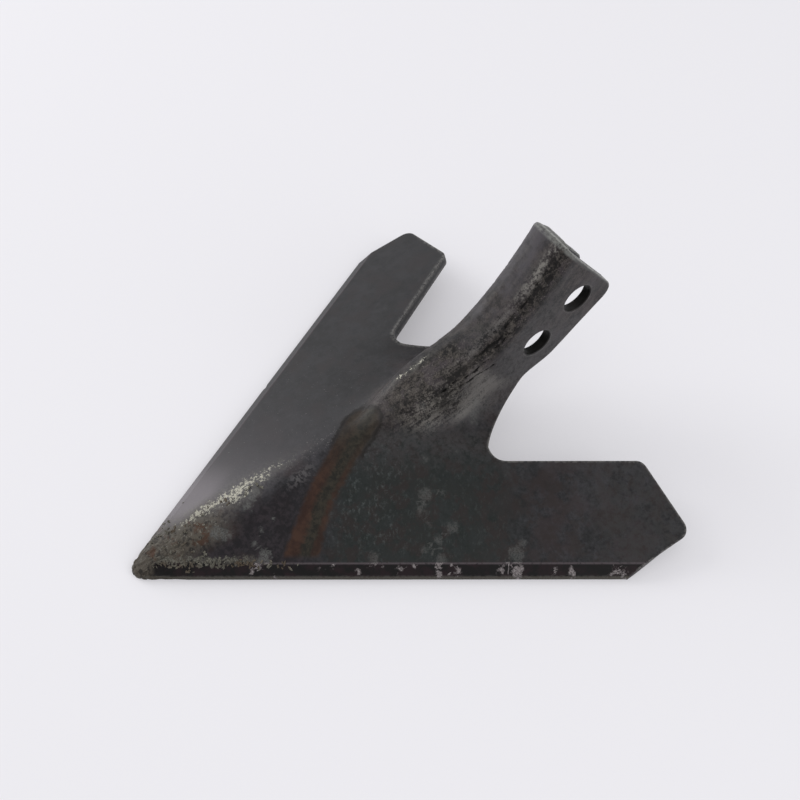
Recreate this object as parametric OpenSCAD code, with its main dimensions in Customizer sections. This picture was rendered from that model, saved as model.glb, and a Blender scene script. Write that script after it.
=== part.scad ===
// Cultivator sweep pressed from one steel plate: two swept-back wings with a bevelled
// cutting edge, a crowned centre, and a stem folded into a channel with two bolt holes.
// Axes: X across the sweep, Y from the nose towards the stem, Z up from the cutting edges.

/* [Wings] */
// Angle between a cutting edge and the centre line, degrees
wing_angle = 31.04; // [28:0.02:34]
// Rise of the wing plate from its cutting edge, degrees
wing_tilt = 19.5; // [15:0.1:24]
// Thickness of the plate
plate_t = 4.8; // [3.8:0.1:5.6]
// Length of a cutting edge, from the point where both would meet to the wing end
edge_len = 200; // [180:1:220]
// Width of a wing, from cutting edge to rear edge, in plan
wing_chord = 43.2; // [39:0.1:48]
// Length of the cut across the outer end of a wing
side_cut = 30; // [26:0.1:34]
// Free length of a wing's rear edge, from the notch to the wing end
tail_free = 60.6; // [54:0.1:66]
// Radius of the two corners of a wing end
wing_corner_r = 4.5; // [3:0.1:6]
// Length of the rounding at the notch between wing and neck
notch_round = 6; // [4:0.1:7]
// Length over which each wing rounds off into the ridge between them
ridge_soft = 4.6; // [3:0.1:6]

/* [Cutting edge] */
// Width of the bevel, in plan
bevel_run = 3.9; // [3:0.1:5]
// Height of the blunt land under the bevel
edge_land = 2.65; // [1.8:0.05:3.4]
// Half width of the blunted nose and of the ridge behind it
nose_half = 2.8; // [2.2:0.1:3.6]

/* [Stem] */
// Slope of the stem over the ground, degrees
stem_angle = 44.4; // [41:0.2:48]
// Width of the channel over its two flanges
stem_w = 23.6; // [21:0.1:27]
// Depth of the channel at its top end, from front web to rear edges
stem_depth = 47.1; // [42:0.1:52]
// Forward sweep of the front web towards the top end
stem_lean = 6.8; // [4:0.1:9]
// Distance of the stem's rear top corner behind the wing ends
stem_over = 24.3; // [19:0.1:30]
// Height of the stem's rear top corner
stem_rise = 56.8; // [52:0.1:62]
// Outside radius of the bends between web and flanges
bend_r = 8.5; // [7:0.1:10]
// Radius of the rear top corners of the flanges
stem_corner_r = 6.5; // [4:0.1:8]
// Height of the front of the top end over the flange corners, along the stem
end_lift = 0.7; // [0.2:0.1:2]

/* [Neck and crown] */
// Length of the flange from its top end down to the waist
waist_at = 52.9; // [49:0.1:56]
// Depth by which the waist cuts into the rear edge
waist_in = 4.2; // [2:0.1:7]
// Length of the crown in plan, from the ridge to the root of the stem
crown_len = 53; // [48:0.5:58]
// Height by which the crown swells over the straight run from ridge to stem
crown_hump = 3.2; // [1:0.1:5]

/* [Bolt holes] */
// Diameter of the two bolt holes
hole_d = 12.7; // [10:0.1:14]
// Distance between the two holes along the stem
hole_pitch = 24; // [21:0.1:27]
// Distance of the upper hole from the top end
hole_top = 12.5; // [11:0.1:15]
// Distance of the holes from the rear edge of the flange
hole_rear = 15.5; // [13:0.1:18]

/* [Hidden] */

// grid counts: bend, flank, notch rounding, neck, stem, top corner, wing rear edge
n_bend = 6;
n_flank = 12;
n_round = 3;
n_neck = 11;
n_stem = 12;
n_corner = 4;
n_tail = 9;
n_fan = n_round + n_neck;
n_crown = 24;

half_w = stem_w / 2;
edge_h = plate_t / cos(wing_tilt);
wing_half = edge_len * sin(wing_angle);
wing_back = edge_len * cos(wing_angle) + side_cut;
top_y = wing_back + stem_over;
top_z = stem_rise;
front_y = nose_half / tan(wing_angle);
back_y = top_y - stem_corner_r * (cos(stem_angle) + sin(stem_angle) - 1);
y_mid = (front_y + back_y) / 2;

// small helpers
function unit(v) = v / norm(v);
function ease(t) = let (c = min(max(t, 0), 1)) c * c * (3 - 2 * c);
function mix(a, b, t) = a * (1 - t) + b * t;
function bez(p, q, r, s, t) =
    p * pow(1 - t, 3) + q * 3 * t * pow(1 - t, 2) + r * 3 * t * t * (1 - t) + s * pow(t, 3);

// wing plane: s runs along the cutting edge, q runs square to it towards the rear
along = [sin(wing_angle), cos(wing_angle), 0];
inward = [-cos(wing_angle), sin(wing_angle), 0];
function rise(q) = edge_h + q * tan(wing_tilt);
function on_wing(s, q) = s * along + q * inward + [0, 0, rise(q)];

// stem frame: a runs down from the top end, f runs forward from the rear edge
axis_up = [0, cos(stem_angle), sin(stem_angle)];
axis_fwd = [0, -sin(stem_angle), cos(stem_angle)];
function on_stem(x, a, f) = [x, top_y, top_z] - a * axis_up + f * axis_fwd;
lean_from = 0.816 * waist_at;
function web_f(a) = stem_depth - stem_lean * (1 - pow((a - lean_from) / lean_from, 2));
rear_from = 0.69 * waist_at;
function corner_f(a) =
    a < stem_corner_r ? stem_corner_r * (1 - sqrt(max(0, 1 - pow(1 - a / stem_corner_r, 2)))) : 0;
function rear_f(a) = waist_in * ease((a - rear_from) / (waist_at - rear_from)) + corner_f(a);

// outline: wing end, notch rounding and neck edge
tail_q = wing_back * sin(wing_angle) - wing_chord;
tail_x = tail_q / cos(wing_angle);
tail_s = tail_x * along[0] + wing_back * along[1];
notch_s = tail_s - tail_free;
notch = on_wing(notch_s, wing_chord);
neck_turn = -29;
neck_flat = [-cos(neck_turn), sin(neck_turn), 0];
neck_dir = unit(neck_flat + [0, 0, (neck_flat * inward) * tan(wing_tilt)]);
waist = on_stem(half_w, waist_at, waist_in);
neck_pull = 0.21 * norm(waist - notch);
waist_pull = 0.09 * norm(waist - notch);
function neck(t) = bez(notch, notch + neck_pull * neck_dir, waist - waist_pull * axis_up, waist, t);
round_t = notch_round / (3 * neck_pull);
round_a = on_wing(notch_s + notch_round, wing_chord);
round_b = neck(round_t);
function notch_arc(t) = round_a * pow(1 - t, 2) + notch * 2 * t * (1 - t) + round_b * t * t;
notch_mid = notch_arc(0.5);

// spine on the centre plane: ridge of the wings, crown, front of the stem
function ridge_y(q) = q / sin(wing_angle) + nose_half / tan(wing_angle);
function on_ridge(y) = [0, y, rise((y - nose_half / tan(wing_angle)) * sin(wing_angle))];
fan_start = on_ridge(ridge_y(wing_chord));
root = on_stem(0, waist_at, web_f(waist_at));
foot = on_ridge(max(root[1] - crown_len, fan_start[1] + 4));
foot_dir = unit([0, 1, sin(wing_angle) * tan(wing_tilt)]);
root_lean = 2 * stem_lean * (waist_at - lean_from) / (lean_from * lean_from);
root_dir = unit(axis_up - root_lean * axis_fwd);
foot_pull = 0.28 * norm(root - foot);
root_pull = 0.12 * norm(root - foot);
crown_up = unit(cross([1, 0, 0], root - foot));
function crown(t) =
    bez(foot, foot + foot_pull * foot_dir, root - root_pull * root_dir, root, t)
    + crown_hump * pow(sin(180 * t), 2) * crown_up;
crown_pts = [for (k = [0 : n_crown]) crown(k / n_crown)];
function run_to(k) = k == 0 ? 0 : run_to(k - 1) + norm(crown_pts[k] - crown_pts[k - 1]);
crown_table = [for (k = [0 : n_crown]) [run_to(k), k / n_crown]];
ridge_run = norm(foot - fan_start);
spine_run = ridge_run + run_to(n_crown);
function spine(u) =
    u * spine_run < ridge_run ? mix(fan_start, foot, u * spine_run / ridge_run)
    : crown(lookup(u * spine_run - ridge_run, crown_table));
function web_half(u) = mix(nose_half, half_w, ease((u - 0.15) / 0.6));

// one grid row on the near side: flat web, round bend, straight flank,
// where firm grows from 0 on the soft ridge of the wings to 1 on the folded channel
bend_part = bend_r / half_w;
ridge_part = 0.8;
function row(s, half, e, firm = 0) =
    let (
        c = s + [half, 0, 0],
        f = unit(e - c),
        p = c - [half * mix(ridge_part, bend_part, firm), 0, 0],
        r = c + mix(ridge_soft, half * bend_part, firm) * f,
        k = sqrt((1 + f[0]) / 2)
    )
    concat(
        [s],
        [for (j = [0 : n_bend])
            let (t = j / n_bend, a = pow(1 - t, 2), b = 2 * t * (1 - t) * k, g = t * t)
            (a * p + b * c + g * r) / (a + b + g)],
        [for (j = [1 : n_flank]) mix(r, e, j / n_flank)]
    );
n_side = 1 + n_bend + n_flank;

// rows of the neck and stem
fan_ends = concat(
    [for (j = [0 : n_round]) notch_arc(0.5 + 0.5 * j / n_round)],
    [for (j = [1 : n_neck]) neck(mix(round_t, 1, j / n_neck))]
);
fan_rows = [for (j = [0 : n_fan]) let (u = j / n_fan)
    row(spine(u), web_half(u), fan_ends[j], ease(u / 0.6))];
stem_steps = concat(
    [for (j = [1 : n_stem]) mix(waist_at, stem_corner_r, j / n_stem)],
    [for (j = [1 : n_corner]) stem_corner_r * (1 - sin(90 * j / n_corner))]
);
function front_a(a) = a - end_lift * ease(1 - a / (0.6 * waist_at));
stem_rows = [for (a = stem_steps)
    row(on_stem(0, front_a(a), web_f(front_a(a))), half_w, on_stem(half_w, a, rear_f(a)), 1)];
upper = concat(fan_rows, stem_rows);
n_upper = len(upper) - 1;

// rows of the wings, each at one height, ending on the rounded wing end
corner_x = wing_half - wing_corner_r;
corner_y = wing_back - wing_corner_r;
rear_x = (corner_y * sin(wing_angle) - (wing_chord - wing_corner_r)) / cos(wing_angle);
function row_y(x, q) = q / sin(wing_angle) + x / tan(wing_angle);
function hit_arc(cx, q) =
    let (
        m = 1 / tan(wing_angle),
        o = q / sin(wing_angle) - corner_y,
        a = 1 + m * m,
        b = 2 * (o * m - cx),
        c = cx * cx + o * o - wing_corner_r * wing_corner_r
    )
    (-b + sqrt(max(0, b * b - 4 * a * c))) / (2 * a);
function end_x(q) =
    let (flat_x = (wing_back - q / sin(wing_angle)) * tan(wing_angle))
    row_y(wing_half, q) <= corner_y ? wing_half
    : flat_x >= corner_x ? hit_arc(corner_x, q)
    : flat_x >= rear_x ? flat_x
    : hit_arc(rear_x, q);
function plan_s(p) = p[0] * along[0] + p[1] * along[1];
function end_s(q) = plan_s([end_x(q), row_y(end_x(q), q)]);
side_q = corner_y * sin(wing_angle) - wing_half * cos(wing_angle);
back_q = wing_back * sin(wing_angle) - corner_x * cos(wing_angle);
rear_q = wing_back * sin(wing_angle) - rear_x * cos(wing_angle);
wing_q = concat(
    [0, bevel_run, mix(bevel_run, side_q, 0.5)],
    [for (j = [0 : 4]) mix(side_q, back_q, j / 4)],
    [for (j = [1 : 3]) mix(back_q, rear_q, j / 3)],
    [for (j = [1 : 3]) mix(rear_q, wing_chord, sin(90 * j / 4))]
);
tail_end = on_wing(end_s(wing_chord), wing_chord);
tail = concat(
    [for (j = [1 : n_round]) notch_arc(0.5 - 0.5 * j / n_round)],
    [for (j = [1 : n_tail]) mix(round_a, tail_end, j / n_tail)]
);
mid_s = plan_s(notch_mid);
last_s = plan_s(tail_end);
function wing_row(q, at, z) =
    let (e = mid_s * along + at * inward, g = (end_s(q) - mid_s) / (last_s - mid_s))
    concat(
        row([0, ridge_y(at), z], nose_half, [e[0], e[1], z]),
        [for (p = tail)
            let (w = mix(mid_s, plan_s(p), g) * along + at * inward)
            [w[0], w[1], z]]
    );
n_wide = n_side + len(tail);
lower = concat(
    [for (q = wing_q) wing_row(q, q, q == 0 ? edge_land : rise(q))],
    [concat(upper[0], tail)]
);
n_lower = len(lower) - 1;

// underside: plate thickness square to the wing, upright only at the cutting edge
shift = plate_t * sin(wing_tilt);
sink = shift * inward - [0, 0, plate_t * cos(wing_tilt)];
function under_row(q) =
    let (at = q + shift * ease(q / 12))
    wing_row(q, at, at * tan(wing_tilt));
under_q = wing_chord + shift;
under_last = concat(
    row([0, ridge_y(under_q), under_q * tan(wing_tilt)], nose_half, notch_mid + sink),
    [for (p = tail) p + sink]
);
under_lower = concat([for (q = wing_q) under_row(q)], [under_last]);

// underside of neck and stem: plate thickness along the surface normal of each grid point
function flip(p) = [-p[0], p[1], p[2]];
function normal_at(j, i) =
    let (
        du = upper[j][min(i + 1, n_side)] - (i == 0 ? flip(upper[j][1]) : upper[j][i - 1]),
        dv = upper[min(j + 1, n_upper)][i] - (j == 0 ? lower[n_lower - 1][i] : upper[j - 1][i])
    )
    unit(cross(du, dv));
blend_rows = 6;
under_upper = [for (j = [0 : n_upper]) [for (i = [0 : n_side])
    upper[j][i] + mix(under_last[i] - upper[0][i], -plate_t * normal_at(j, i), ease(j / blend_rows))]];

// both halves of a row, from the far end to the near end
function whole(r) = concat([for (i = [len(r) - 1 : -1 : 1]) flip(r[i])], r);
function strip(rows) = [for (r = rows) for (p = whole(r)) p];
function skip_first(rows) = [for (k = [1 : len(rows) - 1]) rows[k]];
top_pts = concat(strip(lower), strip(skip_first(upper)));
under_pts = concat(strip(under_lower), strip(skip_first(under_upper)));
n_pts = len(top_pts);

wide = 2 * n_wide + 1;
slim = 2 * n_side + 1;
function low_id(r, j) = r * wide + j;
function up_id(r, j) =
    r == 0 ? low_id(n_lower, n_wide - n_side + j)
    : (n_lower + 1) * wide + (r - 1) * slim + j;

// grid squares split towards the centre line, alike on both halves
function square(a, b, c, d, far) = far ? [[a, d, b], [d, c, b]] : [[a, d, c], [a, c, b]];
top_faces = concat(
    [for (r = [0 : n_lower - 1]) for (j = [0 : wide - 2])
        each square(low_id(r, j), low_id(r, j + 1), low_id(r + 1, j + 1), low_id(r + 1, j), j < n_wide)],
    [for (r = [0 : n_upper - 1]) for (j = [0 : slim - 2])
        each square(up_id(r, j), up_id(r, j + 1), up_id(r + 1, j + 1), up_id(r + 1, j), j >= n_side)]
);
under_faces = [for (f = top_faces) [f[0] + n_pts, f[2] + n_pts, f[1] + n_pts]];

// outline of the plate, once round: front, near end, near notch, stem, far notch, far end
outline = concat(
    [for (j = [0 : wide - 1]) low_id(0, j)],
    [for (r = [1 : n_lower]) low_id(r, wide - 1)],
    [for (j = [wide - 2 : -1 : n_wide + n_side]) low_id(n_lower, j)],
    [for (r = [1 : n_upper]) up_id(r, slim - 1)],
    [for (j = [slim - 2 : -1 : 0]) up_id(n_upper, j)],
    [for (r = [n_upper - 1 : -1 : 1]) up_id(r, 0)],
    [for (j = [n_wide - n_side : -1 : 0]) low_id(n_lower, j)],
    [for (r = [n_lower - 1 : -1 : 1]) low_id(r, 0)]
);
rim_faces = [for (k = [0 : len(outline) - 1])
    let (a = outline[k], b = outline[(k + 1) % len(outline)])
    each [[a, b, b + n_pts], [a, b + n_pts, a + n_pts]]];

// pressed plate before drilling
module plate() {
    polyhedron(
        points = concat(top_pts, under_pts),
        faces = concat(top_faces, under_faces, rim_faces),
        convexity = 8
    );
}

// bolt hole through both flanges, at a distance from the top end
module bolt_hole(a) {
    translate(on_stem(0, a, hole_rear))
        rotate([0, 90, 0])
            cylinder(d = hole_d, h = stem_w + 4, center = true, $fn = 64);
}

// the whole sweep
module sweep() {
    color([0.27, 0.27, 0.29])
        translate([0, -y_mid, 0])
            difference() {
                plate();
                bolt_hole(hole_top);
                bolt_hole(hole_top + hole_pitch);
            }
}

sweep();
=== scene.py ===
# %% [markdown]
# # A cultivator sweep in dark oxide steel
#
# A sweep is the share of a field cultivator: one steel plate, pressed hot into two
# swept-back wings, a crown and a channel that is bolted to the shank. This lesson builds
# its visible skin as a fine grid, weathers it with Geometry Nodes, and finishes it with one
# procedural material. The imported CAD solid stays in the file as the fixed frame.

import math

import bpy
import numpy as np
from mathutils import Matrix, Vector
from mathutils.kdtree import KDTree


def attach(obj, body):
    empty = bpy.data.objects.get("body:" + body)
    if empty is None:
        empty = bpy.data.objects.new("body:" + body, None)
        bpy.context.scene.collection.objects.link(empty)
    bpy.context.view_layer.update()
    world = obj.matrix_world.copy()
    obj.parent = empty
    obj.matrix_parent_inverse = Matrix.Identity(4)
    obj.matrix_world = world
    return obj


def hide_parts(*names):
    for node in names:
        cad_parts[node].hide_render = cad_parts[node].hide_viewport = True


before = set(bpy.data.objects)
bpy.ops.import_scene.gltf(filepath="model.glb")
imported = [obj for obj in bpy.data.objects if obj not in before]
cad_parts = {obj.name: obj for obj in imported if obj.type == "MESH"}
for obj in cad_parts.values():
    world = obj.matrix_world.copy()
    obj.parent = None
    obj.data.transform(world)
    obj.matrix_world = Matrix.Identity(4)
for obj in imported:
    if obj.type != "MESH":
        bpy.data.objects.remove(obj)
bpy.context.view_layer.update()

# %% [markdown]
# ## The sizes
#
# The skin has to lie exactly on the solid, so it starts from the same measures: the plan
# angle and tilt of a wing, the slope of the stem, the thickness of the plate. They are in
# millimetres here, and the mesh is turned into metres at the very end. The lengths y run
# back from the point where both cutting edges would meet.

# %% Sizes of the pressed plate, in millimetres
WING_ANGLE = math.radians(31.04)
WING_TILT = math.radians(19.5)
PLATE = 4.8
EDGE_LEN = 200.0
WING_CHORD = 43.2
SIDE_CUT = 30.0
TAIL_FREE = 60.6
WING_CORNER_R = 4.5
NOTCH_ROUND = 6.0
BEVEL_RUN = 3.9
EDGE_LAND = 2.65
NOSE_HALF = 2.8

STEM_ANGLE = math.radians(44.4)
HALF_W = 11.8
STEM_DEPTH = 47.1
STEM_LEAN = 6.8
STEM_OVER = 24.3
STEM_RISE = 56.8
BEND_R = 8.5
STEM_CORNER_R = 6.5
END_LIFT = 0.7

WAIST_AT = 52.9
WAIST_IN = 4.2
CROWN_LEN = 53.0
CROWN_HUMP = 3.2

HOLE_R = 6.35
HOLE_AT = (12.5, 36.5)
HOLE_REAR = 15.5

SIN_W, COS_W, TAN_T = math.sin(WING_ANGLE), math.cos(WING_ANGLE), math.tan(WING_TILT)
EDGE_H = PLATE / math.cos(WING_TILT)
WING_HALF = EDGE_LEN * SIN_W
WING_BACK = EDGE_LEN * COS_W + SIDE_CUT
TOP_Y = WING_BACK + STEM_OVER
FRONT_Y = NOSE_HALF / math.tan(WING_ANGLE)
BACK_Y = TOP_Y - STEM_CORNER_R * (math.cos(STEM_ANGLE) + math.sin(STEM_ANGLE) - 1)
Y_MID = (FRONT_Y + BACK_Y) / 2
print(f"width {2 * WING_HALF:.1f} mm, length {BACK_Y - FRONT_Y:.1f} mm")

# %% [markdown]
# ## Small helpers for curves
#
# A press tool has few kinds of line: straight runs, soft blends between two runs, and
# smooth curves that leave one run and meet the next. `mix`, `ease` and `bezier` are those
# three, and `walk` finds points on a line by their way along it. They take whole NumPy
# arrays, which is much faster in Blender than a Python loop.


# %% Curve helpers
def mix(a, b, t):
    return a * (1 - t) + b * t


def ease(t):
    c = np.clip(t, 0, 1)
    return c * c * (3 - 2 * c)


def unit(v):
    return v / np.linalg.norm(v, axis=-1, keepdims=True)


def vec(*xyz):
    return np.array(xyz, float)


def bezier(p, q, r, s, t):
    t = np.asarray(t, float)[..., None]
    u = 1 - t
    return p * u**3 + q * 3 * t * u**2 + r * 3 * t**2 * u + s * t**3


def run_along(line):
    return np.r_[0, np.cumsum(np.linalg.norm(np.diff(line, axis=0), axis=1))]


def walk(line, run, at):
    return np.stack([np.interp(at, run, line[:, k]) for k in range(3)], -1)


print("curve helpers ready")

# %% [markdown]
# ## Two local frames
#
# Points on a wing are easy to name by two lengths: s along the cutting edge and q square to
# it. Points on the stem are easy to name by a, the way down from its top end, and f, the way
# forward from its rear edge. Each frame is a pair of direction vectors.

# %% Wing frame and stem frame
ALONG = vec(SIN_W, COS_W, 0)
INWARD = vec(-COS_W, SIN_W, 0)
AXIS_UP = vec(0, math.cos(STEM_ANGLE), math.sin(STEM_ANGLE))
AXIS_FWD = vec(0, -math.sin(STEM_ANGLE), math.cos(STEM_ANGLE))
STEM_TOP = vec(0, TOP_Y, STEM_RISE)
LEAN_FROM = 0.816 * WAIST_AT
REAR_FROM = 0.69 * WAIST_AT
LIFT_TO = 0.6 * WAIST_AT


def rise(q):
    return EDGE_H + q * TAN_T


def on_wing(s, q):
    return s * ALONG + q * INWARD + vec(0, 0, rise(q))


def on_stem(x, a, f):
    return STEM_TOP + vec(x, 0, 0) - a * AXIS_UP + f * AXIS_FWD


def web_f(a):
    return STEM_DEPTH - STEM_LEAN * (1 - ((a - LEAN_FROM) / LEAN_FROM) ** 2)


def rear_f(a):
    corner = 0.0
    if a < STEM_CORNER_R:
        corner = STEM_CORNER_R * (1 - math.sqrt(max(0, 1 - (1 - a / STEM_CORNER_R) ** 2)))
    return WAIST_IN * float(ease((a - REAR_FROM) / (WAIST_AT - REAR_FROM))) + corner


def front_a(a):
    return a - END_LIFT * float(ease(1 - a / LIFT_TO))


def plan_s(p):
    return p[..., 0] * ALONG[0] + p[..., 1] * ALONG[1]


print("top of the stem:", STEM_TOP.round(1))

# %% [markdown]
# ## The outline: notch and neck
#
# Between wing and stem the plate is cut out in a round notch, and the edge then sweeps up
# the neck to the waist of the stem. One quadratic arc and one Bezier curve follow it.

# %% Notch and neck
TAIL_Q = WING_BACK * SIN_W - WING_CHORD
TAIL_S = TAIL_Q / COS_W * SIN_W + WING_BACK * COS_W
NOTCH_S = TAIL_S - TAIL_FREE
NOTCH = on_wing(NOTCH_S, WING_CHORD)
NECK_TURN = math.radians(-29)
neck_flat = vec(-math.cos(NECK_TURN), math.sin(NECK_TURN), 0)
NECK_DIR = unit(neck_flat + vec(0, 0, neck_flat @ INWARD * TAN_T))
WAIST = on_stem(HALF_W, WAIST_AT, WAIST_IN)
neck_span = np.linalg.norm(WAIST - NOTCH)
NECK_PULL, WAIST_PULL = 0.21 * neck_span, 0.09 * neck_span
ROUND_T = NOTCH_ROUND / (3 * NECK_PULL)


def neck(t):
    return bezier(NOTCH, NOTCH + NECK_PULL * NECK_DIR, WAIST - WAIST_PULL * AXIS_UP, WAIST, t)


ROUND_A = on_wing(NOTCH_S + NOTCH_ROUND, WING_CHORD)
ROUND_B = neck(ROUND_T)


def notch_arc(t):
    t = np.asarray(t, float)[..., None]
    return ROUND_A * (1 - t) ** 2 + NOTCH * 2 * t * (1 - t) + ROUND_B * t**2


NOTCH_MID = notch_arc(0.5)
print("bottom of the notch:", NOTCH_MID.round(1), "waist:", WAIST.round(1))

# %% [markdown]
# ## The spine
#
# On the centre plane the plate runs up the ridge between the wings, swells over the crown
# and goes up the front of the stem. The crown is walked in equal steps of length, so the
# grid that hangs on the spine has no bunched rows.


# %% Ridge, crown and root of the stem
def ridge_y(q):
    return q / SIN_W + FRONT_Y


def on_ridge(y):
    return vec(0, y, rise((y - FRONT_Y) * SIN_W))


FOOT_GAP = 4
FAN_START = on_ridge(ridge_y(WING_CHORD))
ROOT = on_stem(0, WAIST_AT, web_f(WAIST_AT))
FOOT = on_ridge(max(ROOT[1] - CROWN_LEN, FAN_START[1] + FOOT_GAP))
foot_dir = unit(vec(0, 1, SIN_W * TAN_T))
root_lean = 2 * STEM_LEAN * (WAIST_AT - LEAN_FROM) / LEAN_FROM**2
root_dir = unit(AXIS_UP - root_lean * AXIS_FWD)
crown_span = np.linalg.norm(ROOT - FOOT)
crown_up = unit(np.cross(vec(1, 0, 0), ROOT - FOOT))
FOOT_PULL, ROOT_PULL = 0.28 * crown_span, 0.12 * crown_span
crown_t = np.linspace(0, 1, 200)
crown_line = bezier(
    FOOT, FOOT + FOOT_PULL * foot_dir, ROOT - ROOT_PULL * root_dir, ROOT, crown_t
)
crown_line = crown_line + (CROWN_HUMP * np.sin(math.pi * crown_t) ** 2)[:, None] * crown_up
spine_line = np.vstack([FAN_START, crown_line])
spine_run = run_along(spine_line)


def spine(u):
    return walk(spine_line, spine_run, u * spine_run[-1])


print(f"spine from ridge to stem: {spine_run[-1]:.1f} mm")

# %% [markdown]
# ## One row of the grid
#
# Every row starts at the spine, crosses a flat web, goes round a bend and runs straight out
# along a flank. A rational quadratic curve makes the bend, because it is a true circular arc
# where web and flank meet at a right angle and stays smooth where they meet at a flat one.
# Along the ridge of the wings the bend is softer, as the tool leaves it on thick plate.

# %% One row
N_WEB, N_BEND, N_FLANK = 11, 11, 78
N_SIDE = N_WEB + N_BEND + N_FLANK
BEND_SHARE = BEND_R / HALF_W
RIDGE_SOFT = 4.6
HALF_BEND = 20
bend_t = np.linspace(0, 1, 2 * HALF_BEND + 1)[:, None]
flank_t = (np.arange(1, N_FLANK + 1) / N_FLANK)[:, None]


def even_steps(line, count):
    run = run_along(line)
    return walk(line, run, np.linspace(0, run[-1], count + 1))


def cross_row(start, half, end, firm=0.0):
    """firm runs from 0, the soft ridge of the wings, to 1, the folded channel."""
    corner = start + vec(half, 0, 0)
    flank = unit(end - corner)
    p = corner - vec(half * mix(1.0, BEND_SHARE, firm), 0, 0)
    r = corner + mix(RIDGE_SOFT, half * BEND_SHARE, firm) * flank
    middle = math.sqrt((1 + flank[0]) / 2)
    wa, wb, wc = (1 - bend_t) ** 2, 2 * bend_t * (1 - bend_t) * middle, bend_t**2
    bend = (wa * p + wb * corner + wc * r) / (wa + wb + wc)
    to_middle = even_steps(np.vstack([start, bend[: HALF_BEND + 1]]), N_WEB)
    past_middle = even_steps(bend[HALF_BEND:], N_BEND)
    return np.vstack([to_middle, past_middle[1:], mix(r, end, flank_t)])


print(f"a row has {2 * N_SIDE + 1} points over both halves")

# %% [markdown]
# ## Rows of neck and stem
#
# From the notch upward the rows fan out from the spine to the neck edge, and then climb the
# channel to its top end, where they crowd into the rounded rear corner.

# %% Rows of neck and stem
COARSE_ROUND, COARSE_FAN = 3, 14
N_ROUND, N_FAN, N_STEM, N_CORNER = 10, 45, 46, 9
WIDEN_FROM, WIDEN_OVER = 0.15, 0.6
fan_t = np.r_[
    np.linspace(0, COARSE_ROUND, N_ROUND),
    np.linspace(COARSE_ROUND, COARSE_FAN, N_FAN)[1:],
]
stem_steps = np.r_[
    np.linspace(WAIST_AT, STEM_CORNER_R, N_STEM)[1:],
    STEM_CORNER_R * (1 - np.sin(np.pi / 2 * np.arange(1, N_CORNER + 1) / N_CORNER)),
]


def fan_end(t):
    if t <= COARSE_ROUND:
        return notch_arc(0.5 + 0.5 * t / COARSE_ROUND)
    return neck(mix(ROUND_T, 1, (t - COARSE_ROUND) / (COARSE_FAN - COARSE_ROUND)))


def fan_row(t):
    u = t / COARSE_FAN
    half = mix(NOSE_HALF, HALF_W, float(ease((u - WIDEN_FROM) / WIDEN_OVER)))
    return cross_row(spine(u), half, fan_end(t), float(ease(u / WIDEN_OVER)))


def stem_row(a):
    front = front_a(a)
    return cross_row(
        on_stem(0, front, web_f(front)), HALF_W, on_stem(HALF_W, a, rear_f(a)), 1.0
    )


upper = np.array([fan_row(t) for t in fan_t] + [stem_row(a) for a in stem_steps])
print("neck and stem grid:", upper.shape)

# %% [markdown]
# ## Rows of the wings
#
# A wing row keeps one height. It goes from the ridge past the notch to the wing end, which is
# cut square to the sweep on two sides and rounded at its corners. The first rows are the
# bevel that was ground along the cutting edge.

# %% Where a wing row ends
CORNER_X = WING_HALF - WING_CORNER_R
CORNER_Y = WING_BACK - WING_CORNER_R
REAR_X = (CORNER_Y * SIN_W - (WING_CHORD - WING_CORNER_R)) / COS_W
SIDE_Q = CORNER_Y * SIN_W - WING_HALF * COS_W
BACK_Q = WING_BACK * SIN_W - CORNER_X * COS_W
REAR_Q = WING_BACK * SIN_W - REAR_X * COS_W


def hit_corner(cx, q):
    m = COS_W / SIN_W
    o = q / SIN_W - CORNER_Y
    a, b = 1 + m * m, 2 * (o * m - cx)
    c = cx * cx + o * o - WING_CORNER_R**2
    return (-b + math.sqrt(max(0, b * b - 4 * a * c))) / (2 * a)


def end_x(q):
    flat_x = (WING_BACK - q / SIN_W) * SIN_W / COS_W
    if q / SIN_W + WING_HALF * COS_W / SIN_W <= CORNER_Y:
        return WING_HALF
    if flat_x >= CORNER_X:
        return hit_corner(CORNER_X, q)
    if flat_x >= REAR_X:
        return flat_x
    return hit_corner(REAR_X, q)


def end_s(q):
    x = end_x(q)
    return x * SIN_W + (q / SIN_W + x * COS_W / SIN_W) * COS_W


print(f"corner heights on the chord: {SIDE_Q:.1f}, {BACK_Q:.1f}, {REAR_Q:.1f} mm")

# %% Rows of the wings
wing_q = np.r_[
    np.linspace(0, BEVEL_RUN, 6),
    np.linspace(BEVEL_RUN, SIDE_Q, 10)[1:],
    np.linspace(SIDE_Q, BACK_Q, 9)[1:],
    np.linspace(BACK_Q, REAR_Q, 21)[1:],
    mix(REAR_Q, WING_CHORD, np.sin(np.pi / 2 * np.arange(1, 4) / 4)),
]
TAIL_END = on_wing(end_s(WING_CHORD), WING_CHORD)
tail = np.vstack(
    [
        notch_arc(0.5 - 0.5 * np.arange(1, 9) / 8),
        mix(ROUND_A, TAIL_END, (np.arange(1, 45) / 44)[:, None]),
    ]
)
tail_s, mid_s, last_s = plan_s(tail), plan_s(NOTCH_MID), plan_s(TAIL_END)


def wing_row(q, at, z):
    reach = (end_s(q) - mid_s) / (last_s - mid_s)
    end = mid_s * ALONG + at * INWARD + vec(0, 0, z)
    out = mix(mid_s, tail_s, reach)[:, None] * ALONG + at * INWARD + vec(0, 0, z)
    return np.vstack([cross_row(vec(0, ridge_y(at), z), NOSE_HALF, end), out])


def top_z(q):
    return rise(q) if q >= BEVEL_RUN else mix(EDGE_LAND, rise(BEVEL_RUN), q / BEVEL_RUN)


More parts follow.
